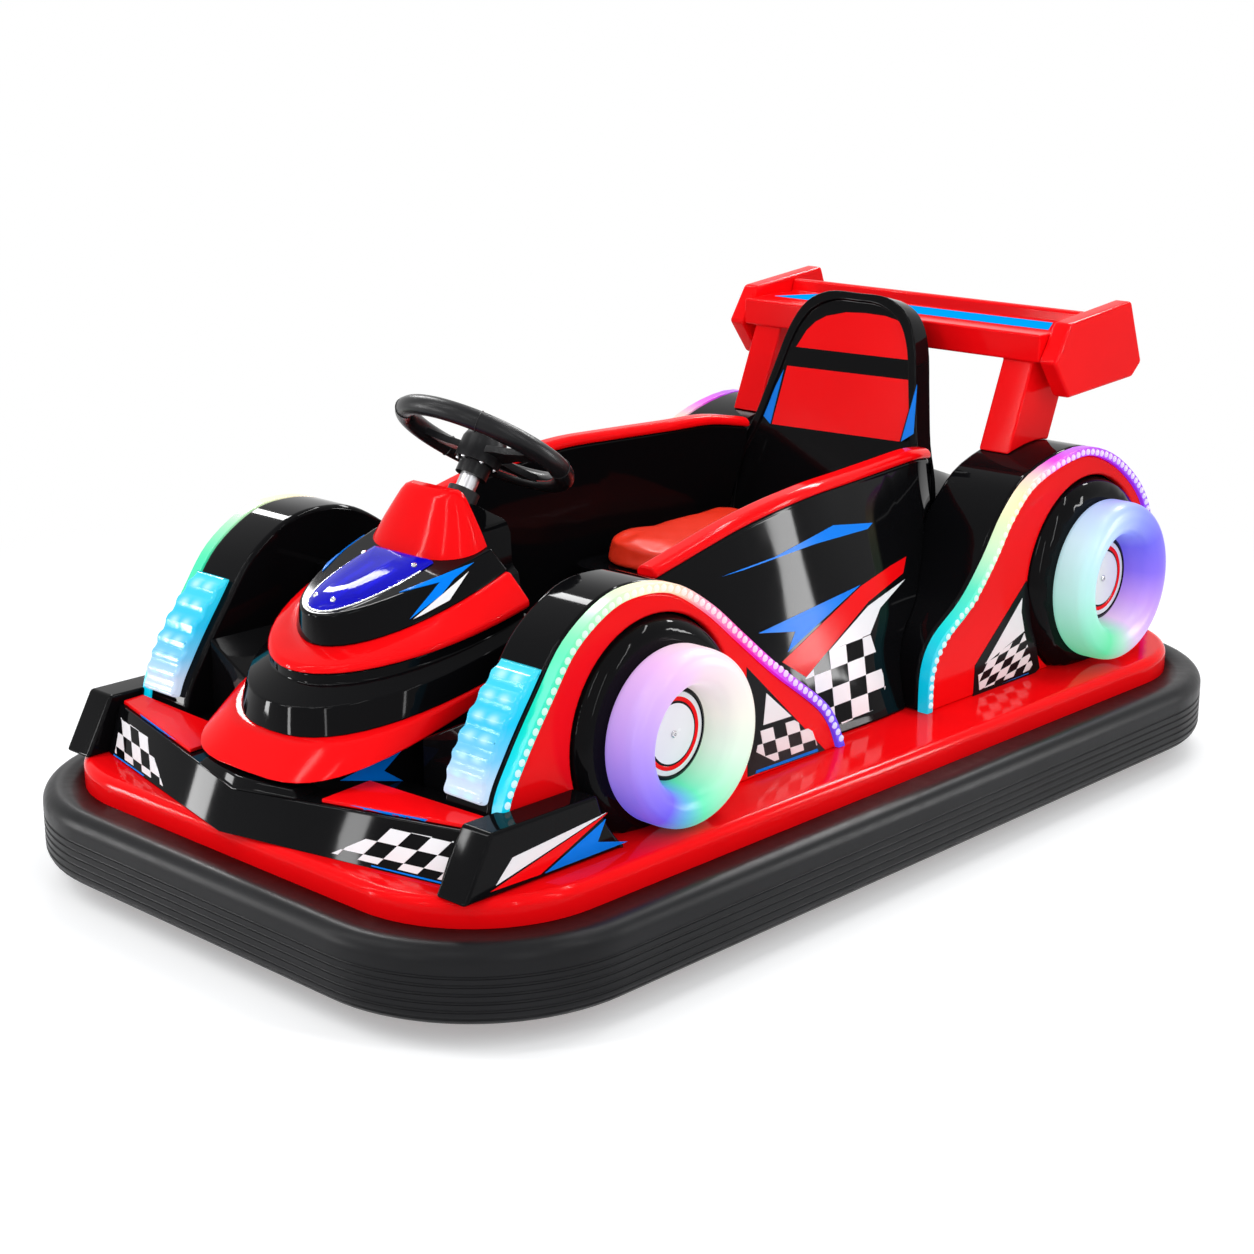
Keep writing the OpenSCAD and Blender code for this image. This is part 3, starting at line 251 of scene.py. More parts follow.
def ring_light(name, y, z, stops):
    """A light ring whose colour runs round its centre."""
    mat, tree, bsdf = shader(name)
    inputs = {"Location": (0, -y, -z), "Vector": object_place(tree)}
    split = axes(tree, add_node(tree, "ShaderNodeMapping", inputs)["Vector"])
    angle = calc(tree, "ARCTAN2", split["Z"], split["Y"])
    colour = banded(tree, angle, [(radians(a), rgb) for a, rgb in stops])
    self_lit(tree, bsdf, colour, RING_GLOW, RING_COVER)
    return mat


def lamp_glow(name, strength):
    """A lamp block whose light changes with its height, with two rows of bulbs behind its cover."""
    mat, tree, bsdf = shader(name)
    split = axes(tree, object_place(tree))
    aside = calc(tree, "SUBTRACT", calc(tree, "ABSOLUTE", split["X"]), BULB_MID)
    aside = calc(tree, "SUBTRACT", calc(tree, "ABSOLUTE", aside), BULB_SPREAD)
    aside = calc(tree, "ABSOLUTE", calc(tree, "DIVIDE", aside, BULB_SPREAD))
    aside = calc(tree, "MULTIPLY", calc(tree, "POWER", aside, 2), BULB_FALL)
    wave = calc(tree, "COSINE", calc(tree, "MULTIPLY", split["Z"], TURN / BULB_PITCH))
    wave = calc(tree, "POWER", calc(tree, "MULTIPLY_ADD", wave, 0.5, 0.5), 2)
    bulb = calc(tree, "MULTIPLY", calc(tree, "EXPONENT", aside), wave)
    inputs = {"Factor": calc(tree, "MULTIPLY", bulb, BULB_SHARE),
              "A": banded(tree, split["Z"], LAMP_STOPS), "B": BULB}
    lit = add_node(tree, "ShaderNodeMix", inputs, data_type="RGBA")["Result"]
    self_lit(tree, bsdf, lit, strength, LAMP_COVER)
    return mat


def lit_colour(name, cloud, colour, dark, strength, rough):
    mat, tree, bsdf = shader(name)
    tone = cloudy(tree, cloud, shaded(colour, dark), colour)
    fill(bsdf, {"Base Color": tone, "Emission Color": tone, "Emission Strength": strength,
                "Roughness": rough})
    return mat, tree, bsdf


def glow(name, colour, strength):
    return lit_colour(name, GLOW_CLOUD, colour, GLOW_DARK, strength, GLOW_ROUGH)[0]


def clear_dome(name):
    mat, tree, bsdf = lit_colour(name, DOME_CLOUD, DOME, DOME_DARK, DOME_GLOW, DOME_ROUGH)
    fill(bsdf, {"Transmission Weight": DOME_THROUGH, "IOR": DOME_IOR, "Specular IOR Level": DOME_SPECULAR})
    add_grain(tree, bsdf, *DOME_GRAIN)
    return mat


# The colours of the light strips from the front end to the rear end of the car, by Y.
STRIP_STOPS = [
    (-0.76, (0.0, 0.55, 1.0)), (-0.72, (0.0, 0.75, 0.95)), (-0.67, (0.0, 0.8, 0.55)),
    (-0.62, (0.05, 0.85, 0.45)), (-0.56, (0.45, 0.95, 0.55)), (-0.48, (0.95, 0.95, 0.6)),
    (-0.4, (1.0, 0.7, 0.5)), (-0.34, (1.0, 0.3, 0.5)), (-0.27, (1.0, 0.04, 0.5)),
    (-0.19, (0.75, 0.02, 0.85)), (-0.1, (0.3, 0.04, 1.0)), (-0.01, (0.02, 0.08, 1.0)),
    (0.18, (0.0, 0.6, 0.85)), (0.24, (0.0, 0.8, 0.75)), (0.3, (0.1, 0.9, 0.6)),
    (0.35, (0.65, 0.95, 0.6)), (0.41, (1.0, 0.85, 0.45)), (0.46, (1.0, 0.6, 0.6)),
    (0.51, (0.9, 0.1, 0.85)), (0.58, (0.55, 0.02, 0.95)), (0.7, (0.38, 0.02, 0.95)),
    (0.83, (0.25, 0.05, 1.0)),
]
# The colours round a light wheel, by angle: 0 is towards the rear, 90 is up.
FRONT_RING_STOPS = [
    (-180, (0.46, 0.3, 0.95)), (-150, (0.28, 0.19, 0.95)), (-125, (0.17, 0.12, 0.95)),
    (-105, (0.12, 0.5, 0.8)), (-85, (0.14, 0.88, 0.52)), (-60, (0.4, 0.94, 0.62)),
    (-25, (0.78, 0.97, 0.8)), (10, (0.96, 0.94, 0.84)), (50, (0.97, 0.84, 0.85)),
    (85, (0.98, 0.75, 0.87)), (115, (0.88, 0.54, 0.96)), (150, (0.66, 0.42, 0.96)),
    (180, (0.46, 0.3, 0.95)),
]
REAR_RING_STOPS = [
    (-180, (0.48, 0.9, 0.84)), (-145, (0.26, 0.86, 0.58)), (-115, (0.12, 0.82, 0.4)),
    (-92, (0.42, 0.78, 0.62)), (-70, (0.84, 0.6, 0.94)), (-35, (0.6, 0.34, 0.96)),
    (0, (0.27, 0.17, 0.96)), (35, (0.18, 0.15, 0.96)), (70, (0.27, 0.33, 0.97)),
    (105, (0.48, 0.64, 0.97)), (140, (0.6, 0.86, 0.96)), (180, (0.48, 0.9, 0.84)),
]
# The colours of a front lamp block, by Z.
LAMP_STOPS = [
    (0.26, (0.72, 0.82, 0.98)), (0.3, (0.6, 0.76, 0.98)), (0.33, (0.2, 0.62, 0.97)),
    (0.37, (0.02, 0.6, 0.95)), (0.44, (0.04, 0.74, 0.93)),
]

RED_GLOSS = paint("red_gloss", RED, 0.1, specular=0.05, vary=0.04, bump=0.01)
BLACK_GLOSS = paint("black_gloss", DEEP_BLACK, 0.05, specular=0.06, bump=0.01)
BLACK_SATIN = paint("black_satin", DULL_BLACK, 0.38, specular=0.22, bump=0.1, grain=900.0)
BUMPER_RUBBER = paint("bumper_rubber", RUBBER, 0.36, specular=0.1, vary=0.2, bump=0.2, grain=700.0)
FLOOR_PLASTIC = paint("floor_plastic", DULL_BLACK, 0.55, vary=0.2, bump=0.3, grain=400.0)
FRAME_PAINT = paint("frame_paint", IRON, 0.4, vary=0.15, bump=0.15)
BATTERY_CASE = paint("battery_case", CASE, 0.45, vary=0.15)
AXLE_STEEL = paint("axle_steel", STEEL, 0.32, metal=1.0, vary=0.15, grain=220.0)
WHEEL_RUBBER = paint("wheel_rubber", TYRE, 0.7, vary=0.25, bump=0.4, grain=350.0)
MOTOR_ALLOY = paint("motor_alloy", ALLOY, 0.42, metal=1.0, vary=0.15)
SCREW_STEEL = paint("screw_steel", BRIGHT_STEEL, 0.25, metal=1.0, vary=0.1)
WHEEL_GRIP = paint("wheel_grip", GRIP_BLACK, 0.32, specular=0.18, vary=0.2, bump=0.35, grain=650.0)
CAP_WHITE = paint("cap_white", CAP, 0.25, coat=0.3, vary=0.04)
DECAL_WHITE = paint("decal_white", WHITE, 0.22, specular=0.2, vary=0.03)
DECAL_BLACK = paint("decal_black", BLACK, 0.12, specular=0.05, vary=0.05)
DECAL_BLUE = paint("decal_blue", BLUE, 0.2, specular=0.05, vary=0.03)
DECAL_SKY = paint("decal_sky", SKY, 0.4, specular=0.0, vary=0.03)
DECAL_RED = paint("decal_red", RED, 0.14, specular=0.05, vary=0.03)
VINYL_RED = paint("seat_cover", VINYL, 0.36, specular=0.22, vary=0.08, bump=0.3, grain=480.0)
STITCH_RED = paint("stitch_red", THREAD, 0.6)
LED_BAND = strip_light("led_band", 0.6, 0.0)
LED_BEAD = strip_light("led_bead", 0.9, 0.62)
LAMP_ICE = lamp_glow("lamp_ice", 0.66)
LENS_RED = glow("lens_red", LENS, 0.35)
DOME_BLUE = clear_dome("dome_blue")
DOME_TUBE = glow("dome_tube", DOME_LAMP, 1.6)

# What the nodes are painted with, and how far their edges are rounded (mm).
# Of the nodes in the first table no flat face has a hole: their triangles are joined before the rounding.
JOINED_LOOKS = [
    (BLACK_GLOSS, {
        "front_wing": 3, "endplate_left": 5, "endplate_right": 5, "nose_foot": 3, "nose_band": 2,
        "nose_tier": 4, "nose_braces": 3, "fender_front_left": 8, "fender_front_right": 8,
        "fender_rear_left": 8, "fender_rear_right": 8, "side_pod_left": 5, "side_pod_right": 5,
        "seat_shell": 2.3, "rear_deck": 5,
    }),
    (RED_GLOSS, {
        "wing_tops": 1.5, "nose_base": 3, "nose_collar": 4, "fender_faces": 5, "rim_trims": 4,
        "rear_wing": 4, "wing_endplates": 6,
    }),
    (LAMP_ICE, {"front_lamps": 6}), (VINYL_RED, {"seat_cushion": 5}), (BATTERY_CASE, {"battery_block": 2}),
]
OTHER_LOOKS = [
    (BLACK_GLOSS, {"dash_panel": 3, "tyre_discs": 0}), (RED_GLOSS, {"hull": 0, "dash_cowl": 2}),
    (BUMPER_RUBBER, {"bumper_ring": 0}), (FLOOR_PLASTIC, {"floor_pan": 0}),
    (FRAME_PAINT, {"chassis_frame": 0, "steer_fork": 1}), (MOTOR_ALLOY, {"drive_motor": 1}),
    (AXLE_STEEL, {"rear_axle": 0.5, "steering_shaft": 0.4, "pedal": 1}),
    (WHEEL_RUBBER, {"rear_wheel_left": 0.6, "rear_wheel_right": 0.6, "drive_wheel": 0.6}),
    (DOME_BLUE, {"lamp_dome": 4}), (BLACK_SATIN, {"column_bush": 0.5}), (WHEEL_GRIP, {"steering_wheel": 2}),
    (LED_BAND, {"led_strips": 1.5}), (CAP_WHITE, {"light_rings": 2, "hub_caps": 1}),
]
# Below this angle two faces are one smooth surface.
SMOOTH_ANGLE = radians(28)
FLAT_ANGLE = radians(0.4)
WELD_GAP = 0.00002
EDGE_SEGMENTS = 3


def weld(o):
    o.modifiers.new("weld", "WELD").merge_threshold = WELD_GAP


def dress_node(o, mat, edge, joined):
    o.data.materials.clear()
    o.data.materials.append(mat)
    o.data.shade_smooth()
    weld(o)
    if joined:
        flat = o.modifiers.new("flats", "DECIMATE")
        flat.decimate_type = "DISSOLVE"
        flat.angle_limit = FLAT_ANGLE
    if edge:
        bevel = o.modifiers.new("edges", "BEVEL")
        bevel.width = edge * MM
        bevel.segments = EDGE_SEGMENTS
        bevel.limit_method = "ANGLE"
        bevel.angle_limit = SMOOTH_ANGLE
        bevel.use_clamp_overlap = not joined
        bevel.miter_outer = "MITER_ARC"
    else:
        o.data.set_sharp_from_angle(angle=SMOOTH_ANGLE)
    normals = o.modifiers.new("normals", "WEIGHTED_NORMAL")
    normals.mode = "FACE_AREA_WITH_ANGLE"
    normals.keep_sharp = True


for looks in (JOINED_LOOKS, OTHER_LOOKS):
    for node_mat, edges in looks:
        for node_name, node_edge in edges.items():
            dress_node(NODES[node_name], node_mat, node_edge, looks is JOINED_LOOKS)


# Mesh helpers

# The angle past which an added piece keeps a sharp edge.
SHARP = 35
SOFT_SHARP = 60
LENS_SHARP = 50
# How far a rounded corner may reach along its two lines.
CORNER_SHARE = 0.45
# A screw head for radius 1: (radius, height) pairs.
SCREW_PROFILE = [(1, -0.3), (1, 0.28), (0.86, 0.5), (0.5, 0.6), (0.42, 0.2), (0.02, 0.2)]
SCREW_STEPS = 16


class Shape:
    """Collects vertices, faces and material numbers for one piece."""

    def __init__(self):
        self.verts, self.faces, self.which = [], [], []

    def add(self, verts, faces, mat=0):
        n = len(self.verts)
        self.verts += verts
        for i, f in enumerate(faces):
            self.faces.append([n + k for k in f])
            self.which.append(mat[i % len(mat)] if isinstance(mat, list) else mat)

    def turned(self, profile, steps, place, mat=0):
        """(radius, along) pairs turned about the place's own Z. mat may be a list with one for each band."""
        verts, faces = [], []
        n = len(profile)
        for s, a in enumerate(angles(steps)):
            verts += [place @ Vector((r * cos(a), r * sin(a), h)) for r, h in profile]
            t = (s + 1) % steps
            faces += [[s * n + i, t * n + i, t * n + i + 1, s * n + i + 1] for i in range(n - 1)]
        self.add(verts, faces, mat)

    def screw(self, spot, normal, radius, mat=0):
        """A round head with a socket, let into the surface it sits on."""
        head = [(r * radius, h * radius) for r, h in SCREW_PROFILE]
        self.turned(head, SCREW_STEPS, facing(spot, normal), mat)

    def bar(self, path, radius, steps=8, closed=False):
        """A round bar along a path."""
        n = len(path)
        verts, faces = [], []
        side = None
        for i, p in enumerate(path):
            a = path[(i - 1) % n] if closed or i else p
            b = path[(i + 1) % n] if closed or i < n - 1 else p
            ahead = (b - a).normalized()
            side = ahead.orthogonal() if side is None else side
            side = (side - ahead * side.dot(ahead)).normalized()
            up = ahead.cross(side)
            for t in angles(steps):
                verts.append(p + (side * cos(t) + up * sin(t)) * radius)
        for i in range(n if closed else n - 1):
            j = (i + 1) % n
            for k in range(steps):
                m = (k + 1) % steps
                faces.append([i * steps + k, i * steps + m, j * steps + m, j * steps + k])
        if not closed:
            faces.append(list(range(steps))[::-1])
            faces.append([(n - 1) * steps + k for k in range(steps)])
        self.add(verts, faces)

    def block(self, size, place):
        """A box with its foot at the place's origin."""
        x, y, z = (c / 2 for c in size)
        verts = [place @ Vector((i * x, j * y, k * 2 * z)) for k in (0, 1) for j in (-1, 1) for i in (-1, 1)]
        self.add(verts, [[0, 2, 3, 1], [4, 5, 7, 6], [0, 1, 5, 4], [2, 6, 7, 3], [0, 4, 6, 2], [1, 3, 7, 5]])

    def build(self, name, mats, body="body", sharp=SHARP):
        mesh = bpy.data.meshes.new(name)
        mesh.from_pydata(self.verts, [], self.faces)
        for m in mats:
            mesh.materials.append(m)
        mesh.polygons.foreach_set("material_index", self.which)
        mesh.validate()
        mesh.shade_smooth()
        mesh.set_sharp_from_angle(angle=radians(sharp))
        o = bpy.data.objects.new(name, mesh)
        SCENE.collection.objects.link(o)
        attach(o, body)
        return o


def angles(n, shift=0.0):
    return [TURN * (k + shift) / n for k in range(n)]


def facing(point, normal):
    """A place at point whose own Z looks along normal."""
    return Matrix.Translation(point) @ Vector(normal).to_track_quat("Z", "Y").to_matrix().to_4x4()


def round_profile(points, radius, steps):
    """Rounds the inner corners of an open profile."""
    out = [points[0]]
    for a, b, c in zip(points, points[1:], points[2:]):
        b2 = Vector(b)
        u, v = Vector(a) - b2, Vector(c) - b2
        d = min(radius, CORNER_SHARE * u.length, CORNER_SHARE * v.length)
        p, q = b2 + u.normalized() * d, b2 + v.normalized() * d
        for t in (k / steps for k in range(steps + 1)):
            out.append(tuple(p * (1 - t) ** 2 + b2 * 2 * t * (1 - t) + q * t * t))
    out.append(points[-1])
    return out


def surface_of(*names):
    graph = bpy.context.evaluated_depsgraph_get()
    verts, tris = [], []
    for n in names:
        mesh = NODES[n].evaluated_get(graph).to_mesh()
        mesh.calc_loop_triangles()
        base = len(verts)
        verts += [v.co.copy() for v in mesh.vertices]
        tris += [[base + k for k in t.vertices] for t in mesh.loop_triangles]
    return BVHTree.FromPolygons(verts, tris)


# Light wheels: glowing rings and hub caps, one at each fender

# The ring's section: (share of its radius, share of its thickness).
RING_BORE = 0.56
RING_PROFILE = [
    (0.8, 0), (0.96, 0.02), (1, 0.14), (1, 0.62), (0.985, 0.82), (0.93, 0.955), (0.83, 1), (0.75, 0.985),
    (0.66, 0.9), (0.605, 0.74), (0.58, 0.5), (RING_BORE, 0.2),
]
RING_LIP = 0.004
RING_CORNER = 0.01
RING_CORNER_STEPS = 5
RING_STEPS = 96
# The cap's section: (share of its radius, height), and its tip. Its bands are white 0, black 1 and red 2.
CAP_GAP = 0.0045
CAP_DEPTH = 0.2
CAP_PROFILE = [
    (1, -0.012), (1, 0), (0.92, 0.003), (0.9, 0.0005), (0.8, 0.0005), (0.79, 0.001), (0.71, 0.001),
    (0.7, 0.0006), (0.66, 0.0006), (0.65, 0.0016), (0.2, 0.0024),
]
CAP_TIP = (0.0005, 0.0025)
CAP_BANDS = [1, 1, 1, 0, 0, 2, 2, 1, 1, 0, 0]
CAP_STEPS = 64
HUB_SCREW = [
    (0.005, -0.002), (0.005, 0.0045), (0.004, 0.0056), (0.0024, 0.0056), (0.0022, 0.0035), (0.0002, 0.0035),
]
HUB_SCREW_STEPS = 24


def light_centres():
    """Side, rear or not, inner and outer X, Y, Z and radius of each light ring."""
    lo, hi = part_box("light_rings")
    groups = {}
    for v in NODES["light_rings"].data.vertices:
        key = (v.co.x > 0, v.co.y > (lo.y + hi.y) / 2)
        groups.setdefault(key, []).append((abs(v.co.x), v.co.y, v.co.z))
    out = []
    for (left, rear), spots in sorted(groups.items()):
        xs, ys, zs = zip(*spots)
        y, z = (min(ys) + max(ys)) / 2, (min(zs) + max(zs)) / 2
        out.append((1 if left else -1, rear, min(xs), max(xs), y, z, (max(ys) - min(ys)) / 2))
    return out


def light_wheels():
    rings, caps, screws = Shape(), Shape(), Shape()
    where = {}
    for side, rear, x0, x1, y, z, r in light_centres():
        where[rear] = (y, z)
        place = facing(Vector((0, y, z)), (side, 0, 0))
        t = x1 - x0
        inner = RING_BORE * r
        ring = [(share * r, x0 + depth * t) for share, depth in RING_PROFILE] + [(inner - RING_LIP, x0)]
        ring = round_profile(ring, RING_CORNER, RING_CORNER_STEPS)
        rings.turned(ring, RING_STEPS, place, 1 if rear else 0)
        face = x0 + CAP_DEPTH * t
        cap = [(share * (inner - CAP_GAP), face + h) for share, h in CAP_PROFILE]
        caps.turned(cap + [(CAP_TIP[0], face + CAP_TIP[1])], CAP_STEPS, place, CAP_BANDS)
        screws.turned([(q, face + h) for q, h in HUB_SCREW], HUB_SCREW_STEPS, place)
    front_glow = ring_light("ring_front", *where[False], FRONT_RING_STOPS)
    rear_glow = ring_light("ring_rear", *where[True], REAR_RING_STOPS)
    o = rings.build("light_ring_set", [front_glow, rear_glow])
    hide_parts("light_rings")
    o = caps.build("hub_cap_set", [CAP_WHITE, DECAL_BLACK, DECAL_RED])
    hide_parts("hub_caps")
    screws.build("hub_screws", [SCREW_STEEL])


light_wheels()


# Light strips: a row of beads along the middle of each band

# What counts as the outer face, where the rear strips begin, and the angle a strip starts at.
STRIP_FACE_GAP = 0.0005
STRIP_REAR_Y = 0.1
STRIP_CUT = -pi / 3
STRIP_BIN = 0.06
STRIP_LEAST = 0.004
BEAD_PITCH = 0.0145
BEAD_PROFILE = [(0.0052, -0.001), (0.0052, 0.0006), (0.0045, 0.0018), (0.0027, 0.0026), (0.0003, 0.003)]
BEAD_STEPS = 10


def strip_paths():
    """The middle line of each light band on its outer face, from its own vertices."""
    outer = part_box("led_strips")[1].x
    for side, rear, _, _, cy, cz, _ in light_centres():
        bins = {}
        for v in NODES["led_strips"].data.vertices:
            if abs(v.co.x * side - outer) > STRIP_FACE_GAP or (v.co.y > STRIP_REAR_Y) != rear:
                continue
            d = Vector((v.co.y - cy, v.co.z - cz))
            a = atan2(d.y, d.x)
            a = a if a > STRIP_CUT else a + TURN
            bins.setdefault(int(a / STRIP_BIN), []).append((a, d.length))
        path = []
        for key in sorted(bins):
            radii = [r for _, r in bins[key]]
            if max(radii) - min(radii) < STRIP_LEAST:
                continue
            mid = (max(radii) + min(radii)) / 2
            a = sum(a for a, _ in bins[key]) / len(bins[key])
            path.append(Vector((side * outer, cy + mid * cos(a), cz + mid * sin(a))))
        yield side, path


def spaced(path, step):
    out, left = [path[0]], step
    for a, b in zip(path, path[1:]):
        d = (b - a).length
        at = left
        while at < d:
            out.append(a.lerp(b, at / d))
            at += step
        left = at - d
    return out


def led_beads():
    beads = Shape()
    for side, path in strip_paths():
        for p in spaced(path, BEAD_PITCH):
            beads.turned(BEAD_PROFILE, BEAD_STEPS, facing(p, (side, 0, 0)))
    beads.build("led_beads", [LED_BEAD], sharp=SOFT_SHARP)


led_beads()


# Dome: lamps under it, its rim and its screws

# Screws by X and Y. Tubes by X, rear Y and front Y, let down under the dome.
DOME_SCREWS = [(0.054, -0.577), (-0.054, -0.577), (0.019, -0.695), (-0.019, -0.695)]
DOME_SCREW = 0.0042
DOME_TUBES = [(-0.024, -0.585, -0.655), (0.0, -0.575, -0.68), (0.024, -0.585, -0.655)]
DOME_TUBE_SPANS = 8
DOME_TUBE_SINK = Vector((0, 0, 0.016))
DOME_TUBE_RADIUS = 0.005
DOME_TUBE_SIDES = 10
# The rim runs just outside the dome's outline, clear of its rear edge.
RIM_GROW = 1.015
RIM_AHEAD = 0.001
RIM_CLEAR = 0.004
RIM_LIFT = Vector((0, 0, 0.0005))
RIM_RADIUS = 0.0016


def from_above(surface, x, y):
    return surface.ray_cast(Vector((x, y, FAR)), DOWN)[:2]


def dome_details():
    dome = surface_of("lamp_dome")
    tier = surface_of("nose_tier", "lamp_dome")
    tubes, rim, screws = Shape(), Shape(), Shape()
    for x, y0, y1 in DOME_TUBES:
        ys = [y0 + (y1 - y0) * k / DOME_TUBE_SPANS for k in range(DOME_TUBE_SPANS + 1)]
        path = [from_above(dome, x, y)[0] - DOME_TUBE_SINK for y in ys]
        tubes.bar(path, DOME_TUBE_RADIUS, DOME_TUBE_SIDES)
    tubes.build("dome_tubes", [DOME_TUBE])
    spots = [(v.co.x, v.co.y) for v in NODES["lamp_dome"].data.vertices]
    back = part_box("lamp_dome")[1].y - RIM_CLEAR
    hull = [spots[k] for k in convex_hull_2d(spots)]
    path = [from_above(tier, x * RIM_GROW, y - RIM_AHEAD)[0] + RIM_LIFT for x, y in hull if y < back]
    start = max(range(len(path)), key=lambda k: (path[k] - path[k - 1]).length)
    rim.bar(path[start:] + path[:start], RIM_RADIUS)
    rim.build("dome_rim", [SCREW_STEEL], sharp=SOFT_SHARP)
    for x, y in DOME_SCREWS:
        screws.screw(*from_above(tier, x, y), DOME_SCREW)
    screws.build("dome_screws", [SCREW_STEEL])


dome_details()


# Steering wheel: seams on the rim, stitches, the cap's edge and the bolts under the boss

# The rim lies this far in from the wheel's reach. Angles are in degrees, from the car's left.
RIM_BAND = 0.028
THREAD_SIDES = 6
SEAM_ANGLES = (-52, -128, 20, 160)
SEAM_LIFT = 0.0004
SEAM_RADIUS = 0.0009
SEAM_STEPS = 28
# Stitches: angles, place as shares of the rim's thickness, and size.
STITCH_ARCS = ((-124, -56), (24, 156))
STITCH_FIRST = 1.5
STITCH_PITCH = 2.6
STITCH_LOW = 0.35
STITCH_IN = 0.94
STITCH_HALF = 0.002
STITCH_RADIUS = 0.0007
# The cap's edge, and the bolts under the boss.
EDGE_OVER = 0.012
EDGE_FROM = 0.09
EDGE_REACH = 0.05
EDGE_STEPS = 48
EDGE_RADIUS = 0.0008
BOSS_BOLTS = 6
BOSS_CIRCLE = 0.029
BOSS_BOLT = 0.0034


def steering_details():
    joint = next(j for j in frame["joints"] if j["child"] == "steering")
    centre, axis = Vector(joint["pos_m"]), Vector(joint["axis"]).normalized()
    across = Vector((1, 0, 0))
    ahead = axis.cross(across)

    def outward(a):
        return across * cos(a) + ahead * sin(a)

    def radius_and_height(spot):
        d = spot - centre
        h = d.dot(axis)
        return (d - axis * h).length, h

    rim = [radius_and_height(v.co) for v in NODES["steering_wheel"].data.vertices]
    reach = max(r for r, _ in rim)
    heights = [h for r, h in rim if r > reach - RIM_BAND]
    level = (max(heights) + min(heights)) / 2
    thick = (max(heights) - min(heights)) / 2
    mid = reach - thick
    seams, stitches, edge, bolts = Shape(), Shape(), Shape(), Shape()
    for degrees in SEAM_ANGLES:
        out = outward(radians(degrees))
        spot = centre + axis * level + out * mid
        ring = [spot + (out * cos(t) + axis * sin(t)) * (thick + SEAM_LIFT)
                for t in angles(SEAM_STEPS)]
        seams.bar(ring, SEAM_RADIUS, THREAD_SIDES, closed=True)
    seams.build("rim_seams", [BLACK_SATIN], "steering")
    for first, last in STITCH_ARCS:
        for k in range(int((last - first) / STITCH_PITCH)):
            a = radians(first + STITCH_FIRST + k * STITCH_PITCH)
            spot = centre + axis * (level - thick * STITCH_LOW) + outward(a) * (mid - thick * STITCH_IN)
            along = (ahead * cos(a) - across * sin(a)) * STITCH_HALF
            stitches.bar([spot - along, spot + along], STITCH_RADIUS, THREAD_SIDES)
    stitches.build("rim_stitches", [STITCH_RED], "steering")
    wheel = surface_of("steering_wheel")
    path = []
    for out in map(outward, angles(EDGE_STEPS)):
        spot = wheel.ray_cast(centre + axis * (level + EDGE_OVER) + out * EDGE_FROM, -out)[0]
        if spot and radius_and_height(spot)[0] < EDGE_REACH:
            path.append(spot)
    edge.bar(path, EDGE_RADIUS, THREAD_SIDES, closed=True)
    edge.build("cap_edge", [CAP_WHITE], "steering")
    for out in map(outward, angles(BOSS_BOLTS, 0.5)):
        spot, normal, _, _ = wheel.ray_cast(centre - axis * FAR + out * BOSS_CIRCLE, axis)
        if spot and radius_and_height(spot)[1] < level:
            bolts.screw(spot, normal, BOSS_BOLT)
    bolts.build("boss_bolts", [SCREW_STEEL], "steering")


steering_details()


# Seat cushion: the solid's form, remeshed and blown up as cloth

# PAD_CAP and PAD_SINK leave room for the blow-up at the sides and on top.
PAD_VOXEL = 0.006
PAD_CORNER = 0.075
PAD_CAP = 0.009
PAD_SINK = 0.003
PAD_EDGE = 0.012
PAD_EDGE_STEPS = 4
PAD_EVEN = 4
PAD_FRAMES = 20
PAD_PRESSURE = 4.0
PAD_SMOOTH = 10
TINY = 1e-9


def pad_start():
    """A slightly smaller copy of the cushion with rounded edges, as an even mesh."""
    lo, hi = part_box("seat_cushion")
    mid = (lo + hi) / 2
    mesh = NODES["seat_cushion"].data.copy()
    for v in mesh.vertices:
        for k in (0, 1):
            v.co[k] = mid[k] + (v.co[k] - mid[k]) * (1 - 2 * PAD_CAP / (hi[k] - lo[k]))
        v.co.z = lo.z + (v.co.z - lo.z) * (1 - PAD_SINK / (hi.z - lo.z))
    o = bpy.data.objects.new("seat_pad", mesh)
    SCENE.collection.objects.link(o)
    weld(o)
    edge = o.modifiers.new("edge", "BEVEL")
    edge.width = PAD_EDGE
    edge.segments = PAD_EDGE_STEPS
    edge.limit_method = "ANGLE"
    voxels = o.modifiers.new("voxels", "REMESH")
    voxels.mode = "VOXEL"
    voxels.voxel_size = PAD_VOXEL
    o.modifiers.new("even", "SMOOTH").iterations = PAD_EVEN
    graph = bpy.context.evaluated_depsgraph_get()
    o.data = bpy.data.meshes.new_from_object(o.evaluated_get(graph))
    o.modifiers.clear()
    half = (hi.x - lo.x) / 2
    for v in o.data.vertices:
        d = min(PAD_CORNER, max(0.0, lo.y + PAD_CAP + PAD_CORNER - v.co.y))
        v.co.x = mid.x + (v.co.x - mid.x) * (half - PAD_CORNER + sqrt(PAD_CORNER ** 2 - d * d)) / half
    return o, lo


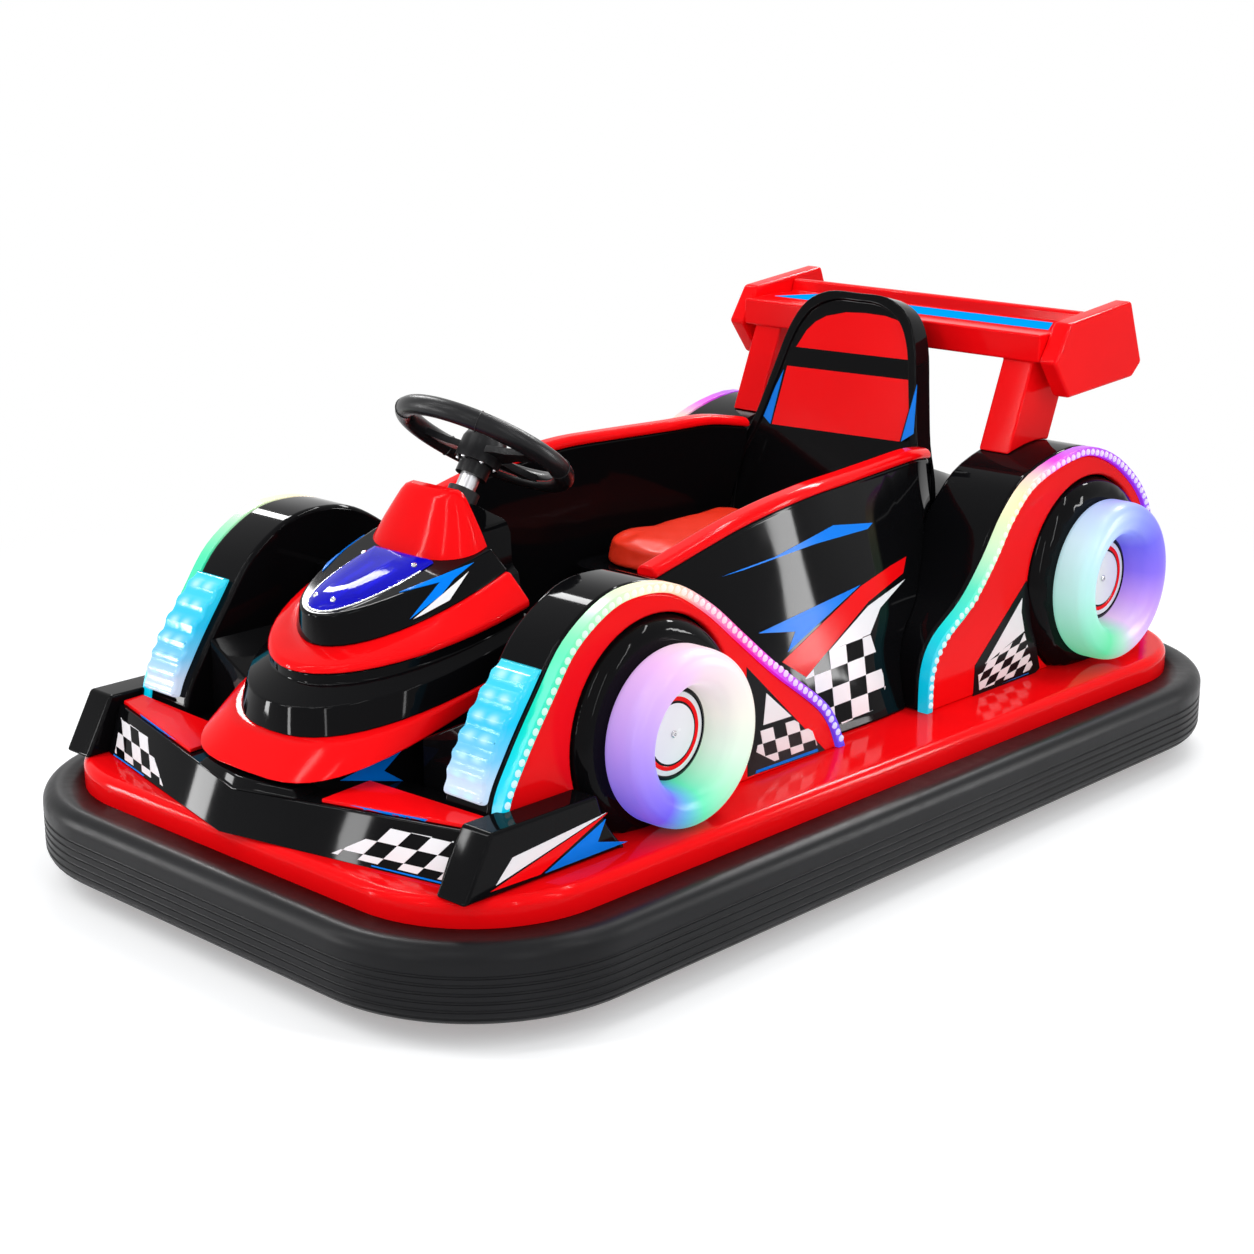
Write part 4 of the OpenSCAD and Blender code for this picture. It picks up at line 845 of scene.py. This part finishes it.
def blow_up(o, floor):
    held = o.vertex_groups.new(name="held")
    held.add([v.index for v in o.data.vertices if v.co.z < floor + PAD_VOXEL], 1.0, "REPLACE")
    cloth = o.modifiers.new("cloth", "CLOTH")
    cloth.settings.use_pressure = True
    cloth.settings.uniform_pressure_force = PAD_PRESSURE
    cloth.settings.vertex_group_mass = held.name
    cloth.settings.effector_weights.gravity = 0
    cloth.point_cache.frame_start = 1
    cloth.point_cache.frame_end = PAD_FRAMES
    for k in range(1, PAD_FRAMES + 1):
        SCENE.frame_set(k)
    graph = bpy.context.evaluated_depsgraph_get()
    blown = [v.co.copy() for v in o.evaluated_get(graph).data.vertices]
    o.modifiers.clear()
    for v, b in zip(o.data.vertices, blown):
        move = b - v.co
        v.co += move * min(1.0, PAD_CAP / max(move.length, TINY))
    SCENE.frame_set(1)


def seat_pad():
    o, lo = pad_start()
    blow_up(o, lo.z)
    o.data.materials.clear()
    o.data.materials.append(VINYL_RED)
    o.data.shade_smooth()
    o.modifiers.new("settled", "SMOOTH").iterations = PAD_SMOOTH
    finer = o.modifiers.new("finer", "SUBSURF")
    finer.levels = 1
    finer.render_levels = 1
    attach(o, "body")
    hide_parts("seat_cushion")


seat_pad()


# Plain fittings: rear vent, lamps and socket cover, floor ribs, pedal treads and wheel bolts

# The rear vent: bars, frame and screws.
VENT_HALF = 0.11
VENT_SPANS = 12
VENT_HEIGHTS = [0.318 + 0.017 * k for k in range(6)]
VENT_BAR = 0.0042
VENT_MARGIN_X = 0.012
VENT_MARGIN_Z = 0.014
VENT_FRAME = 0.004
VENT_FRAME_SPANS = 8
VENT_SCREW = 0.0045
# Rear lamps by X and Z, and turned profiles: (radius, height).
REAR_LAMP = (0.165, 0.28)
LAMP_BEZEL = [(0.032, -0.004), (0.032, 0.006), (0.029, 0.009), (0.026, 0.007)]
LAMP_LENS = [(0.027, 0.0065), (0.024, 0.013), (0.016, 0.0165), (0.007, 0.018), (0.0003, 0.018)]
SOCKET_HEIGHT = 0.262
SOCKET_FLAP = [
    (0.034, -0.004), (0.034, 0.006), (0.031, 0.008), (0.027, 0.008), (0.0255, 0.011), (0.012, 0.0125),
    (0.0003, 0.0125),
]
SOCKET_HINGE = (0.03, 0.012, 0.014)
HINGE_PLACE = Matrix.Translation((0, 0.034, -0.002))
FITTING_STEPS = 40
# Floor ribs: how many to each side, and their points along Y.
RIB_SIDE = 5
RIB_PITCH = 0.032
RIB_FIRST_Y = -0.29
RIB_STEP_Y = 0.028
RIB_POINTS = 10
RIB_RADIUS = 0.003
# Pedal treads, placed by shares of the pedal's box.
TREADS = 5
TREAD_LOW = 0.35
TREAD_STEP = 0.13
TREAD_LEFT = 0.14
TREAD_ALONG = 0.18
TREAD_RADIUS = 0.0022
# Wheel bolts, and the node of each wheel's body.
WHEEL_NODES = {
    "drive_wheel": "drive_wheel", "rear_left": "rear_wheel_left", "rear_right": "rear_wheel_right",
}
WHEEL_BOLTS = 5
WHEEL_CIRCLE = 0.026
WHEEL_NEAR = 0.03
WHEEL_BOLT = 0.004


def from_behind(surface, x, z):
    return surface.ray_cast(Vector((x, FAR, z)), FORWARD)[:2]


def rear_fittings():
    deck = surface_of("rear_deck")
    vent, lamps, cover = Shape(), Shape(), Shape()
    for z in VENT_HEIGHTS:
        xs = [VENT_HALF * (2 * k / VENT_SPANS - 1) for k in range(VENT_SPANS + 1)]
        vent.bar([from_behind(deck, x, z)[0] for x in xs], VENT_BAR)
    low, high = VENT_HEIGHTS[0] - VENT_MARGIN_Z, VENT_HEIGHTS[-1] + VENT_MARGIN_Z
    half = VENT_HALF + VENT_MARGIN_X
    corners = [(-half, low), (half, low), (half, high), (-half, high)]
    path = []
    for (x0, z0), (x1, z1) in zip(corners, corners[1:] + corners[:1]):
        for t in (k / VENT_FRAME_SPANS for k in range(VENT_FRAME_SPANS)):
            path.append(from_behind(deck, x0 + (x1 - x0) * t, z0 + (z1 - z0) * t)[0])
    vent.bar(path, VENT_FRAME, closed=True)
    for x, z in corners:
        vent.screw(*from_behind(deck, x, z), VENT_SCREW, 1)
    vent.build("rear_vent", [BLACK_SATIN, SCREW_STEEL])
    for side in (-1, 1):
        place = facing(*from_behind(deck, side * REAR_LAMP[0], REAR_LAMP[1]))
        lamps.turned(LAMP_BEZEL, FITTING_STEPS, place, 0)
        lamps.turned(LAMP_LENS, FITTING_STEPS, place, 1)
    lamps.build("rear_lamps", [SCREW_STEEL, LENS_RED], sharp=LENS_SHARP)
    place = facing(*from_behind(deck, 0, SOCKET_HEIGHT))
    cover.turned(SOCKET_FLAP, FITTING_STEPS, place)
    cover.block(SOCKET_HINGE, place @ HINGE_PLACE)
    cover.build("socket_cover", [BLACK_SATIN])


def bars(name, rows, radius):
    """Round bars through the spots found in each row."""
    shape = Shape()
    for row in rows:
        path = [spot for spot, _ in row if spot]
        if len(path) > 1:
            shape.bar(path, radius)
    shape.build(name, [BLACK_SATIN])


def floor_ribs():
    pan = surface_of("floor_pan")
    xs = [RIB_PITCH * k for k in range(-RIB_SIDE, RIB_SIDE + 1)]
    ys = [RIB_FIRST_Y + RIB_STEP_Y * k for k in range(RIB_POINTS)]
    bars("floor_ribs", [[from_above(pan, x, y) for y in ys] for x in xs], RIB_RADIUS)


def pedal_treads():
    pedal = surface_of("pedal")
    lo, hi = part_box("pedal")
    xs = [lo.x + (hi.x - lo.x) * (TREAD_LEFT + TREAD_ALONG * k) for k in range(TREADS)]
    zs = [lo.z + (hi.z - lo.z) * (TREAD_LOW + TREAD_STEP * k) for k in range(TREADS)]
    bars("pedal_treads", [[from_behind(pedal, x, z) for x in xs] for z in zs], TREAD_RADIUS)


def wheel_bolts():
    for joint in frame["joints"]:
        body = joint["child"]
        if body not in WHEEL_NODES:
            continue
        surface = surface_of(WHEEL_NODES[body])
        centre = Vector(joint["pos_m"])
        bolts = Shape()
        for side in (-1, 1):
            for a in angles(WHEEL_BOLTS):
                ring = Vector((FAR * side, WHEEL_CIRCLE * cos(a), WHEEL_CIRCLE * sin(a)))
                spot, normal, _, _ = surface.ray_cast(centre + ring, Vector((-side, 0, 0)))
                if spot and abs(spot.x - centre.x) < WHEEL_NEAR:
                    bolts.screw(spot, normal, WHEEL_BOLT)
        bolts.build(body + "_bolts", [SCREW_STEEL], body)


rear_fittings()
floor_ribs()
pedal_treads()
wheel_bolts()


# Decals: flat outlines in photograph pixels, laid on their nodes and mirrored to the other side

BACK_ROD = Vector((sin(CAMERA_AZIMUTH) * cos(CAMERA_ELEVATION),
                   -cos(CAMERA_AZIMUTH) * cos(CAMERA_ELEVATION), sin(CAMERA_ELEVATION)))
CAMERA_TURN = BACK_ROD.to_track_quat("Z", "Y")
FOCAL = CAMERA_LENS / CAMERA_SENSOR * PHOTO_SIDE
# A decal's mesh: its longest edge in pixels, and its thickness in metres.
DECAL_CELL = 7.0
DECAL_SKIN = 0.0005
DECAL_HALVINGS = 9
CHECK_REACH = 9
# Two hits share a flat face within this gap and cosine. A hit this far from the rest is another surface.
FACE_GAP = 0.0004
FACE_COSINE = 0.9995
DEPTH_GAP = 0.25
DECAL_MATS = [DECAL_BLACK, DECAL_WHITE, DECAL_BLUE, DECAL_RED, DECAL_SKY]
# The slots of these materials.
K, W, B, R, S = range(5)

NOSE_ARROW = [(473.7, 562.8), (399.5, 592.8), (439.5, 582.5), (409.5, 619.5), (441, 595.5), (454, 579)]
NOSE_FLASH = [(468.5, 572), (443, 594), (413, 619.5), (422.5, 615), (449.5, 600.5)]
FOOT_ARROW = [(405, 746.5), (340, 780.5), (403.5, 781), (384, 770.8)]
WING_CHECKS = [(391, 828.5), (454, 841.4), (441.8, 880.2), (331.6, 853.2)]
WING_CELL = ((20.2, 4.6), (-13.8, 12.9))
WING_LINE = [(371, 865), (443, 882.4), (442.6, 884.2), (372, 866.6)]
TOP_LINE = [(350, 804.9), (428, 819.4), (421.9, 823), (353, 810.9)]
PLATE_FLASH = [(495.8, 885.5), (512.6, 857.5), (606, 812.8)]
PLATE_BAND = [(490.4, 892), (540.2, 874.5), (607.5, 812.8)]
PLATE_ARROW = [(544.7, 873.3), (605.7, 818.9), (597.6, 841.9), (627.4, 841.4)]
POD_DART = [
    (872.5, 522.8), (833, 525.3), (810, 538), (774.3, 557.2), (722, 576.5), (743.7, 570), (815, 544),
    (867.4, 529),
]
POD_ARROW = [(860.3, 584.9), (758.4, 633.3), (795.3, 631.6), (787.7, 652.2)]
POD_BAND = [(782, 662), (861, 586), (890, 566), (906, 556.5), (903, 573), (868, 602), (806, 677)]
POD_FLASH = [(905, 579), (868, 606), (829, 651), (870, 634), (880, 608)]
POD_CHECKS = [(829, 651), (805, 679), (842, 724), (880, 707), (886, 684), (870, 634)]
POD_CELL = ((16.7, -6.5), (1.7, 18.4))
FRONT_PANEL = [(746.5, 667), (825, 750), (747.5, 777)]
FRONT_FLASH = [(766, 693), (791, 716), (763, 725)]
FRONT_LINE = [(756, 770.5), (817, 748.5), (818, 751), (755, 773.5)]
FRONT_CHECKS = [(760, 731), (794, 720), (812, 731), (817, 745), (774, 761), (756, 752)]
FRONT_CELL = ((12.5, -4.2), (2.4, 12.6))
REAR_PANEL = [(1026.3, 580.5), (1029, 600), (1039.5, 668), (1031, 677), (972.6, 699.4), (974.7, 665.7)]
REAR_FLASH = [(1022, 598), (1021, 612), (1024, 631), (985, 664)]
REAR_LINE = [(977, 695.6), (1028.8, 675), (1028, 672.6), (980, 692)]
REAR_CHECKS = [(1024, 633), (1032, 664.6), (1028.8, 670), (979, 690), (977.9, 675), (984, 663.6)]
REAR_CELL = ((10.6, -6), (-4.6, 10.5))
SEAT_TOP = [
    (796.3, 346.8), (807, 330), (816, 321.5), (826.6, 316), (846.3, 312.3), (866, 313.2), (885.5, 316),
    (897, 320), (903.8, 325), (912.2, 338.4), (915.6, 360.8),
]
SEAT_LOW = [(787.3, 365.6), (917, 381), (899.6, 441.6), (771.9, 424)]
SEAT_RIGHT = [(784, 369.2), (762.1, 414.1), (770.4, 423.8)]
SEAT_LEFT = [(917, 384.7), (913.6, 433.8), (901, 441.6)]
TAIL_STRIPE = [(1053.9, 321.5), (1048.3, 330), (775, 296), (824.6, 293.7)]


def pixel_ray(px):
    u = (px[0] - PHOTO_SIDE / 2) / FOCAL
    v = (PHOTO_SIDE / 2 - px[1]) / FOCAL
    return (CAMERA_TURN @ Vector((u, v, -1))).normalized()


def clip(poly, region):
    """The part of a polygon inside a convex region, both in pixels."""
    area = sum(a[0] * b[1] - b[0] * a[1] for a, b in zip(region, region[1:] + region[:1]))
    sign = 1 if area > 0 else -1
    out = list(poly)
    for a, b in zip(region, region[1:] + region[:1]):
        def depth(p):
            return sign * ((b[0] - a[0]) * (p[1] - a[1]) - (b[1] - a[1]) * (p[0] - a[0]))
        new = []
        for p, q in zip(out, out[1:] + out[:1]):
            dp, dq = depth(p), depth(q)
            if dp >= 0:
                new.append(p)
            if (dp >= 0) != (dq >= 0):
                t = dp / (dp - dq)
                new.append((p[0] + (q[0] - p[0]) * t, p[1] + (q[1] - p[1]) * t))
        out = new
        if len(out) < 3:
            return []
    return out


def checkers(layer, region, cell):
    """The white fields of a checkered region, counted from its first corner along two steps."""
    start = region[0]
    u, v = cell
    items = []
    for i in range(-CHECK_REACH, CHECK_REACH + 1):
        for j in range(-CHECK_REACH, CHECK_REACH + 1):
            if (i + j) % 2:
                continue
            x, y = start[0] + i * u[0] + j * v[0], start[1] + i * u[1] + j * v[1]
            far = (x + u[0] + v[0], y + u[1] + v[1])
            part = clip([(x, y), (x + u[0], y + u[1]), far, (x + v[0], y + v[1])], region)
            if part:
                items.append((layer, W, part))
    return items


def filled(outline):
    """An outline in pixels as small triangles."""
    bm = bmesh.new()
    ring = [bm.verts.new((x, y, 0)) for x, y in outline]
    bm.faces.new(ring)
    bmesh.ops.triangulate(bm, faces=bm.faces[:])
    for _ in range(DECAL_HALVINGS):
        long = [e for e in bm.edges if e.calc_length() > DECAL_CELL]
        if not long:
            break
        bmesh.ops.subdivide_edges(bm, edges=long, cuts=1)
        bmesh.ops.triangulate(bm, faces=bm.faces[:])
    bm.verts.index_update()
    pts = [(v.co.x, v.co.y) for v in bm.verts]
    tris = [[v.index for v in f.verts] for f in bm.faces]
    rim = [(e.verts[0].index, e.verts[1].index) for e in bm.edges if e.is_boundary]
    bm.free()
    return pts, tris, rim


def main_plane(hits):
    """A point and the normal of the flat face that most of the hits lie on."""
    known = [hit for hit in hits if hit[0]]

    def sharing(face):
        spot, normal = face
        return sum(normal.dot(n) > FACE_COSINE and abs(normal.dot(p - spot)) < FACE_GAP for p, n in known)
    return max(known, key=sharing)


def landing(p, surface, hit, depth, plane):
    """Where the ray of a pixel meets the surface, or the flat face it belongs to."""
    ray = pixel_ray(p)
    spot, normal = hit
    if plane:
        spot, normal = plane
        spot = CAMERA_PLACE + ray * ((spot - CAMERA_PLACE).dot(normal) / ray.dot(normal))
    elif spot is None or abs((spot - CAMERA_PLACE).length - depth) > DEPTH_GAP:
        spot, normal, _, _ = surface.find_nearest(CAMERA_PLACE + ray * depth)
    return spot, -normal if normal.dot(ray) > 0 else normal


def lay(shape, outline, surface, mat, layer, mirror, flat, settle):
    """A thin plate of an outline, on its surface or on one flat face of it, and its mirror image."""
    pts, tris, rim = filled(outline)
    hits = [surface.ray_cast(CAMERA_PLACE, pixel_ray(p))[:2] for p in pts]
    known = [spot for spot, _ in hits if spot]
    depth = sum((k - CAMERA_PLACE).length for k in known) / len(known)
    plane = main_plane(hits) if flat else None
    top, low = [], []
    for p, hit in zip(pts, hits):
        spot, normal = landing(p, surface, hit, depth, plane)
        top.append(spot + normal * DECAL_SKIN * layer)
        low.append(spot - normal * DECAL_SKIN)
    n = len(top)
    a, b, c = (top[k] for k in tris[0])
    flip = (b - a).cross(c - a).dot(pixel_ray(pts[tris[0][0]])) > 0
    faces = []
    for t in tris:
        t = t[::-1] if flip else t
        faces.append(t)
        faces.append([k + n for k in t[::-1]])
    edges = {(t[i], t[(i + 1) % 3]) for t in faces[::2] for i in range(3)}
    for i, j in rim:
        i, j = (i, j) if (i, j) in edges else (j, i)
        faces.append([j, i, i + n, j + n])
    shape.add(top + low, faces, mat)
    if mirror:
        flipped = [Vector((-v.x, v.y, v.z)) for v in top + low]
        if settle:
            for k in range(n):
                spot, normal, _, _ = surface.find_nearest(flipped[k])
                flipped[k] = spot + normal * DECAL_SKIN * layer
                flipped[k + n] = spot - normal * DECAL_SKIN
        shape.add(flipped, [f[::-1] for f in faces], mat)


def decal_set(name, nodes, items, mirror=True, flat=False, settle=False):
    """items: (layer, material slot, outline) rows. settle lets the mirror image find the surface again."""
    surface = surface_of(*nodes)
    shape = Shape()
    for layer, mat, outline in items:
        lay(shape, outline, surface, mat, layer, mirror, flat, settle)
    shape.build(name, DECAL_MATS, sharp=LENS_SHARP)


decal_set("decals_nose_tier", ["nose_tier"], [(3, B, NOSE_ARROW), (3, W, NOSE_FLASH)], settle=True)
decal_set("decals_nose_foot", ["nose_foot", "nose_braces"], [(1, B, FOOT_ARROW)])
decal_set("decals_wing", ["front_wing"],
          checkers(1, WING_CHECKS, WING_CELL) + [(1, B, WING_LINE)], settle=True)
decal_set("decals_wing_tops", ["wing_tops"], [(1, B, TOP_LINE)], settle=True)
decal_set("decals_endplates", ["endplate_left"],
          [(1, W, PLATE_FLASH), (1, R, PLATE_BAND), (1, B, PLATE_ARROW)], flat=True)
decal_set("decals_pods", ["side_pod_left"],
          [(1, B, POD_DART), (1, B, POD_ARROW), (1, R, POD_BAND), (1, W, POD_FLASH)]
          + checkers(1, POD_CHECKS, POD_CELL))
decal_set("decals_fenders", ["fender_faces"],
          [(1, K, FRONT_PANEL), (2, W, FRONT_FLASH), (2, B, FRONT_LINE),
           (1, K, REAR_PANEL), (2, W, REAR_FLASH), (2, B, REAR_LINE)]
          + checkers(2, FRONT_CHECKS, FRONT_CELL) + checkers(2, REAR_CHECKS, REAR_CELL), flat=True)
decal_set("decals_seat_back", ["seat_shell"],
          [(1, R, SEAT_TOP), (1, R, SEAT_LOW), (1, B, SEAT_RIGHT), (1, B, SEAT_LEFT)],
          mirror=False, flat=True)
decal_set("decals_rear_wing", ["rear_wing"], [(1, S, TAIL_STRIPE)], mirror=False, flat=True)


# Stage: floor, light and camera

# The floor: FLOOR_LIFT makes it show paler, FLOOR_FADE is where it turns into the background.
FLOOR_HALF = 20.0
FLOOR_DARK = (0.8, 0.8, 0.8)
FLOOR_LIGHT = (0.82, 0.82, 0.82)
FLOOR_ROUGH = 0.6
FLOOR_SPECULAR = 0.1
FLOOR_CLOUD = 2.0
FLOOR_LIFT = 0.32
FLOOR_FADE = (1.25, 2.3)
PLAIN_WHITE = (1, 1, 1, 1)
WORLD_COLOUR = (0.95, 0.97, 1.0, 1)
WORLD_LIGHT = 0.62
LAMP_AIM = Vector((0, 0, 0.3))
# Strip lamps: place, width, height and power.
LAMPS = [
    ((-1.9, -2.6, 2.6), 0.1, 2.6, 32), ((3.0, 0.2, 2.3), 0.1, 2.4, 26), ((0.3, 1.2, 3.0), 2.8, 0.1, 34),
    ((1.4, -3.2, 3.2), 0.1, 1.8, 14), ((-0.6, -2.6, 2.9), 0.1, 2.0, 16), ((3.2, -1.6, 1.6), 0.1, 2.0, 14),
    ((0.6, -3.6, 1.1), 0.1, 1.6, 10),
]
# Panels that only gloss shows: place, width and height, and how bright one looks.
PANELS = [
    ((-2.4, -2.5, 0.6), 0.25, 1.1), ((-2.4, 0.4, 2.7), 0.3, 1.6), ((-0.3, 2.6, 2.6), 2.0, 0.3),
    ((2.6, 2.5, 0.9), 0.25, 1.6), ((-1.4, -3.2, 0.5), 0.16, 0.9),
]
PANEL_LIGHT = 40.0


def shown(tree):
    """1 for the rays that show the background: from the camera, off gloss and through glass."""
    path = add_node(tree, "ShaderNodeLightPath", {})
    seen = calc(tree, "MAXIMUM", path["Is Camera Ray"], path["Is Glossy Ray"])
    return calc(tree, "MAXIMUM", seen, path["Is Transmission Ray"])


def mix_shaders(tree, output, *sockets):
    """sockets: the share of the second shader, the first and the second."""
    mix = add_node(tree, "ShaderNodeMixShader", dict(enumerate(sockets)))
    fill(tree.nodes[output], {"Surface": mix["Shader"]})


def floor_paint():
    """Pale floor that keeps the shadow near the object and fades to the white background."""
    mat, tree, bsdf = shader("floor")
    seen = shown(tree)
    fill(bsdf, {
        "Base Color": cloudy(tree, FLOOR_CLOUD, FLOOR_DARK, FLOOR_LIGHT), "Roughness": FLOOR_ROUGH,
        "Specular IOR Level": FLOOR_SPECULAR, "Emission Color": PLAIN_WHITE,
        "Emission Strength": calc(tree, "MULTIPLY", seen, FLOOR_LIFT),
    })
    reach = add_node(tree, "ShaderNodeVectorMath", {0: object_place(tree)}, operation="LENGTH")["Value"]
    fade = mapped(tree, reach, FLOOR_FADE, curve="SMOOTHSTEP")
    white = add_node(tree, "ShaderNodeEmission", {})["Emission"]
    mix_shaders(tree, "Material Output", calc(tree, "MULTIPLY", seen, fade), bsdf.outputs["BSDF"], white)
    return mat


def lay_floor():
    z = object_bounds()[0].z
    corners = [(FLOOR_HALF * i, FLOOR_HALF * j, z) for i, j in ((-1, -1), (1, -1), (1, 1), (-1, 1))]
    mesh = bpy.data.meshes.new("floor")
    mesh.from_pydata(corners, [], [(0, 1, 2, 3)])
    mesh.materials.append(floor_paint())
    floor = bpy.data.objects.new("floor", mesh)
    SCENE.collection.objects.link(floor)


def set_world():
    world = bpy.data.worlds.new("studio")
    world.use_nodes = True
    SCENE.world = world
    tree = world.node_tree
    soft = tree.nodes["Background"]
    fill(soft, {"Color": WORLD_COLOUR, "Strength": WORLD_LIGHT})
    white = add_node(tree, "ShaderNodeBackground", {"Color": PLAIN_WHITE, "Strength": 1.0})["Background"]
    mix_shaders(tree, "World Output", shown(tree), soft.outputs["Background"], white)


def lamp(name, place, wide, high, power):
    light = bpy.data.lights.new(name, "AREA")
    light.shape = "RECTANGLE"
    light.size = wide
    light.size_y = high
    light.energy = power
    o = bpy.data.objects.new(name, light)
    o.location = place
    o.rotation_euler = (LAMP_AIM - Vector(place)).to_track_quat("-Z", "Y").to_euler()
    SCENE.collection.objects.link(o)
    return o


def camera():
    data = bpy.data.cameras.new("camera")
    data.lens = CAMERA_LENS
    data.sensor_width = CAMERA_SENSOR
    o = bpy.data.objects.new("camera", data)
    o.location = CAMERA_PLACE
    o.rotation_euler = CAMERA_TURN.to_euler()
    SCENE.collection.objects.link(o)
    SCENE.camera = o


lay_floor()
set_world()
for place, wide, high, power in LAMPS:
    lamp("strip_lamp", place, wide, high, power)
for place, wide, high in PANELS:
    panel = lamp("gloss_panel", place, wide, high, PANEL_LIGHT * pi * wide * high)
    panel.visible_diffuse = False
camera()
SCENE.view_settings.view_transform = "Standard"
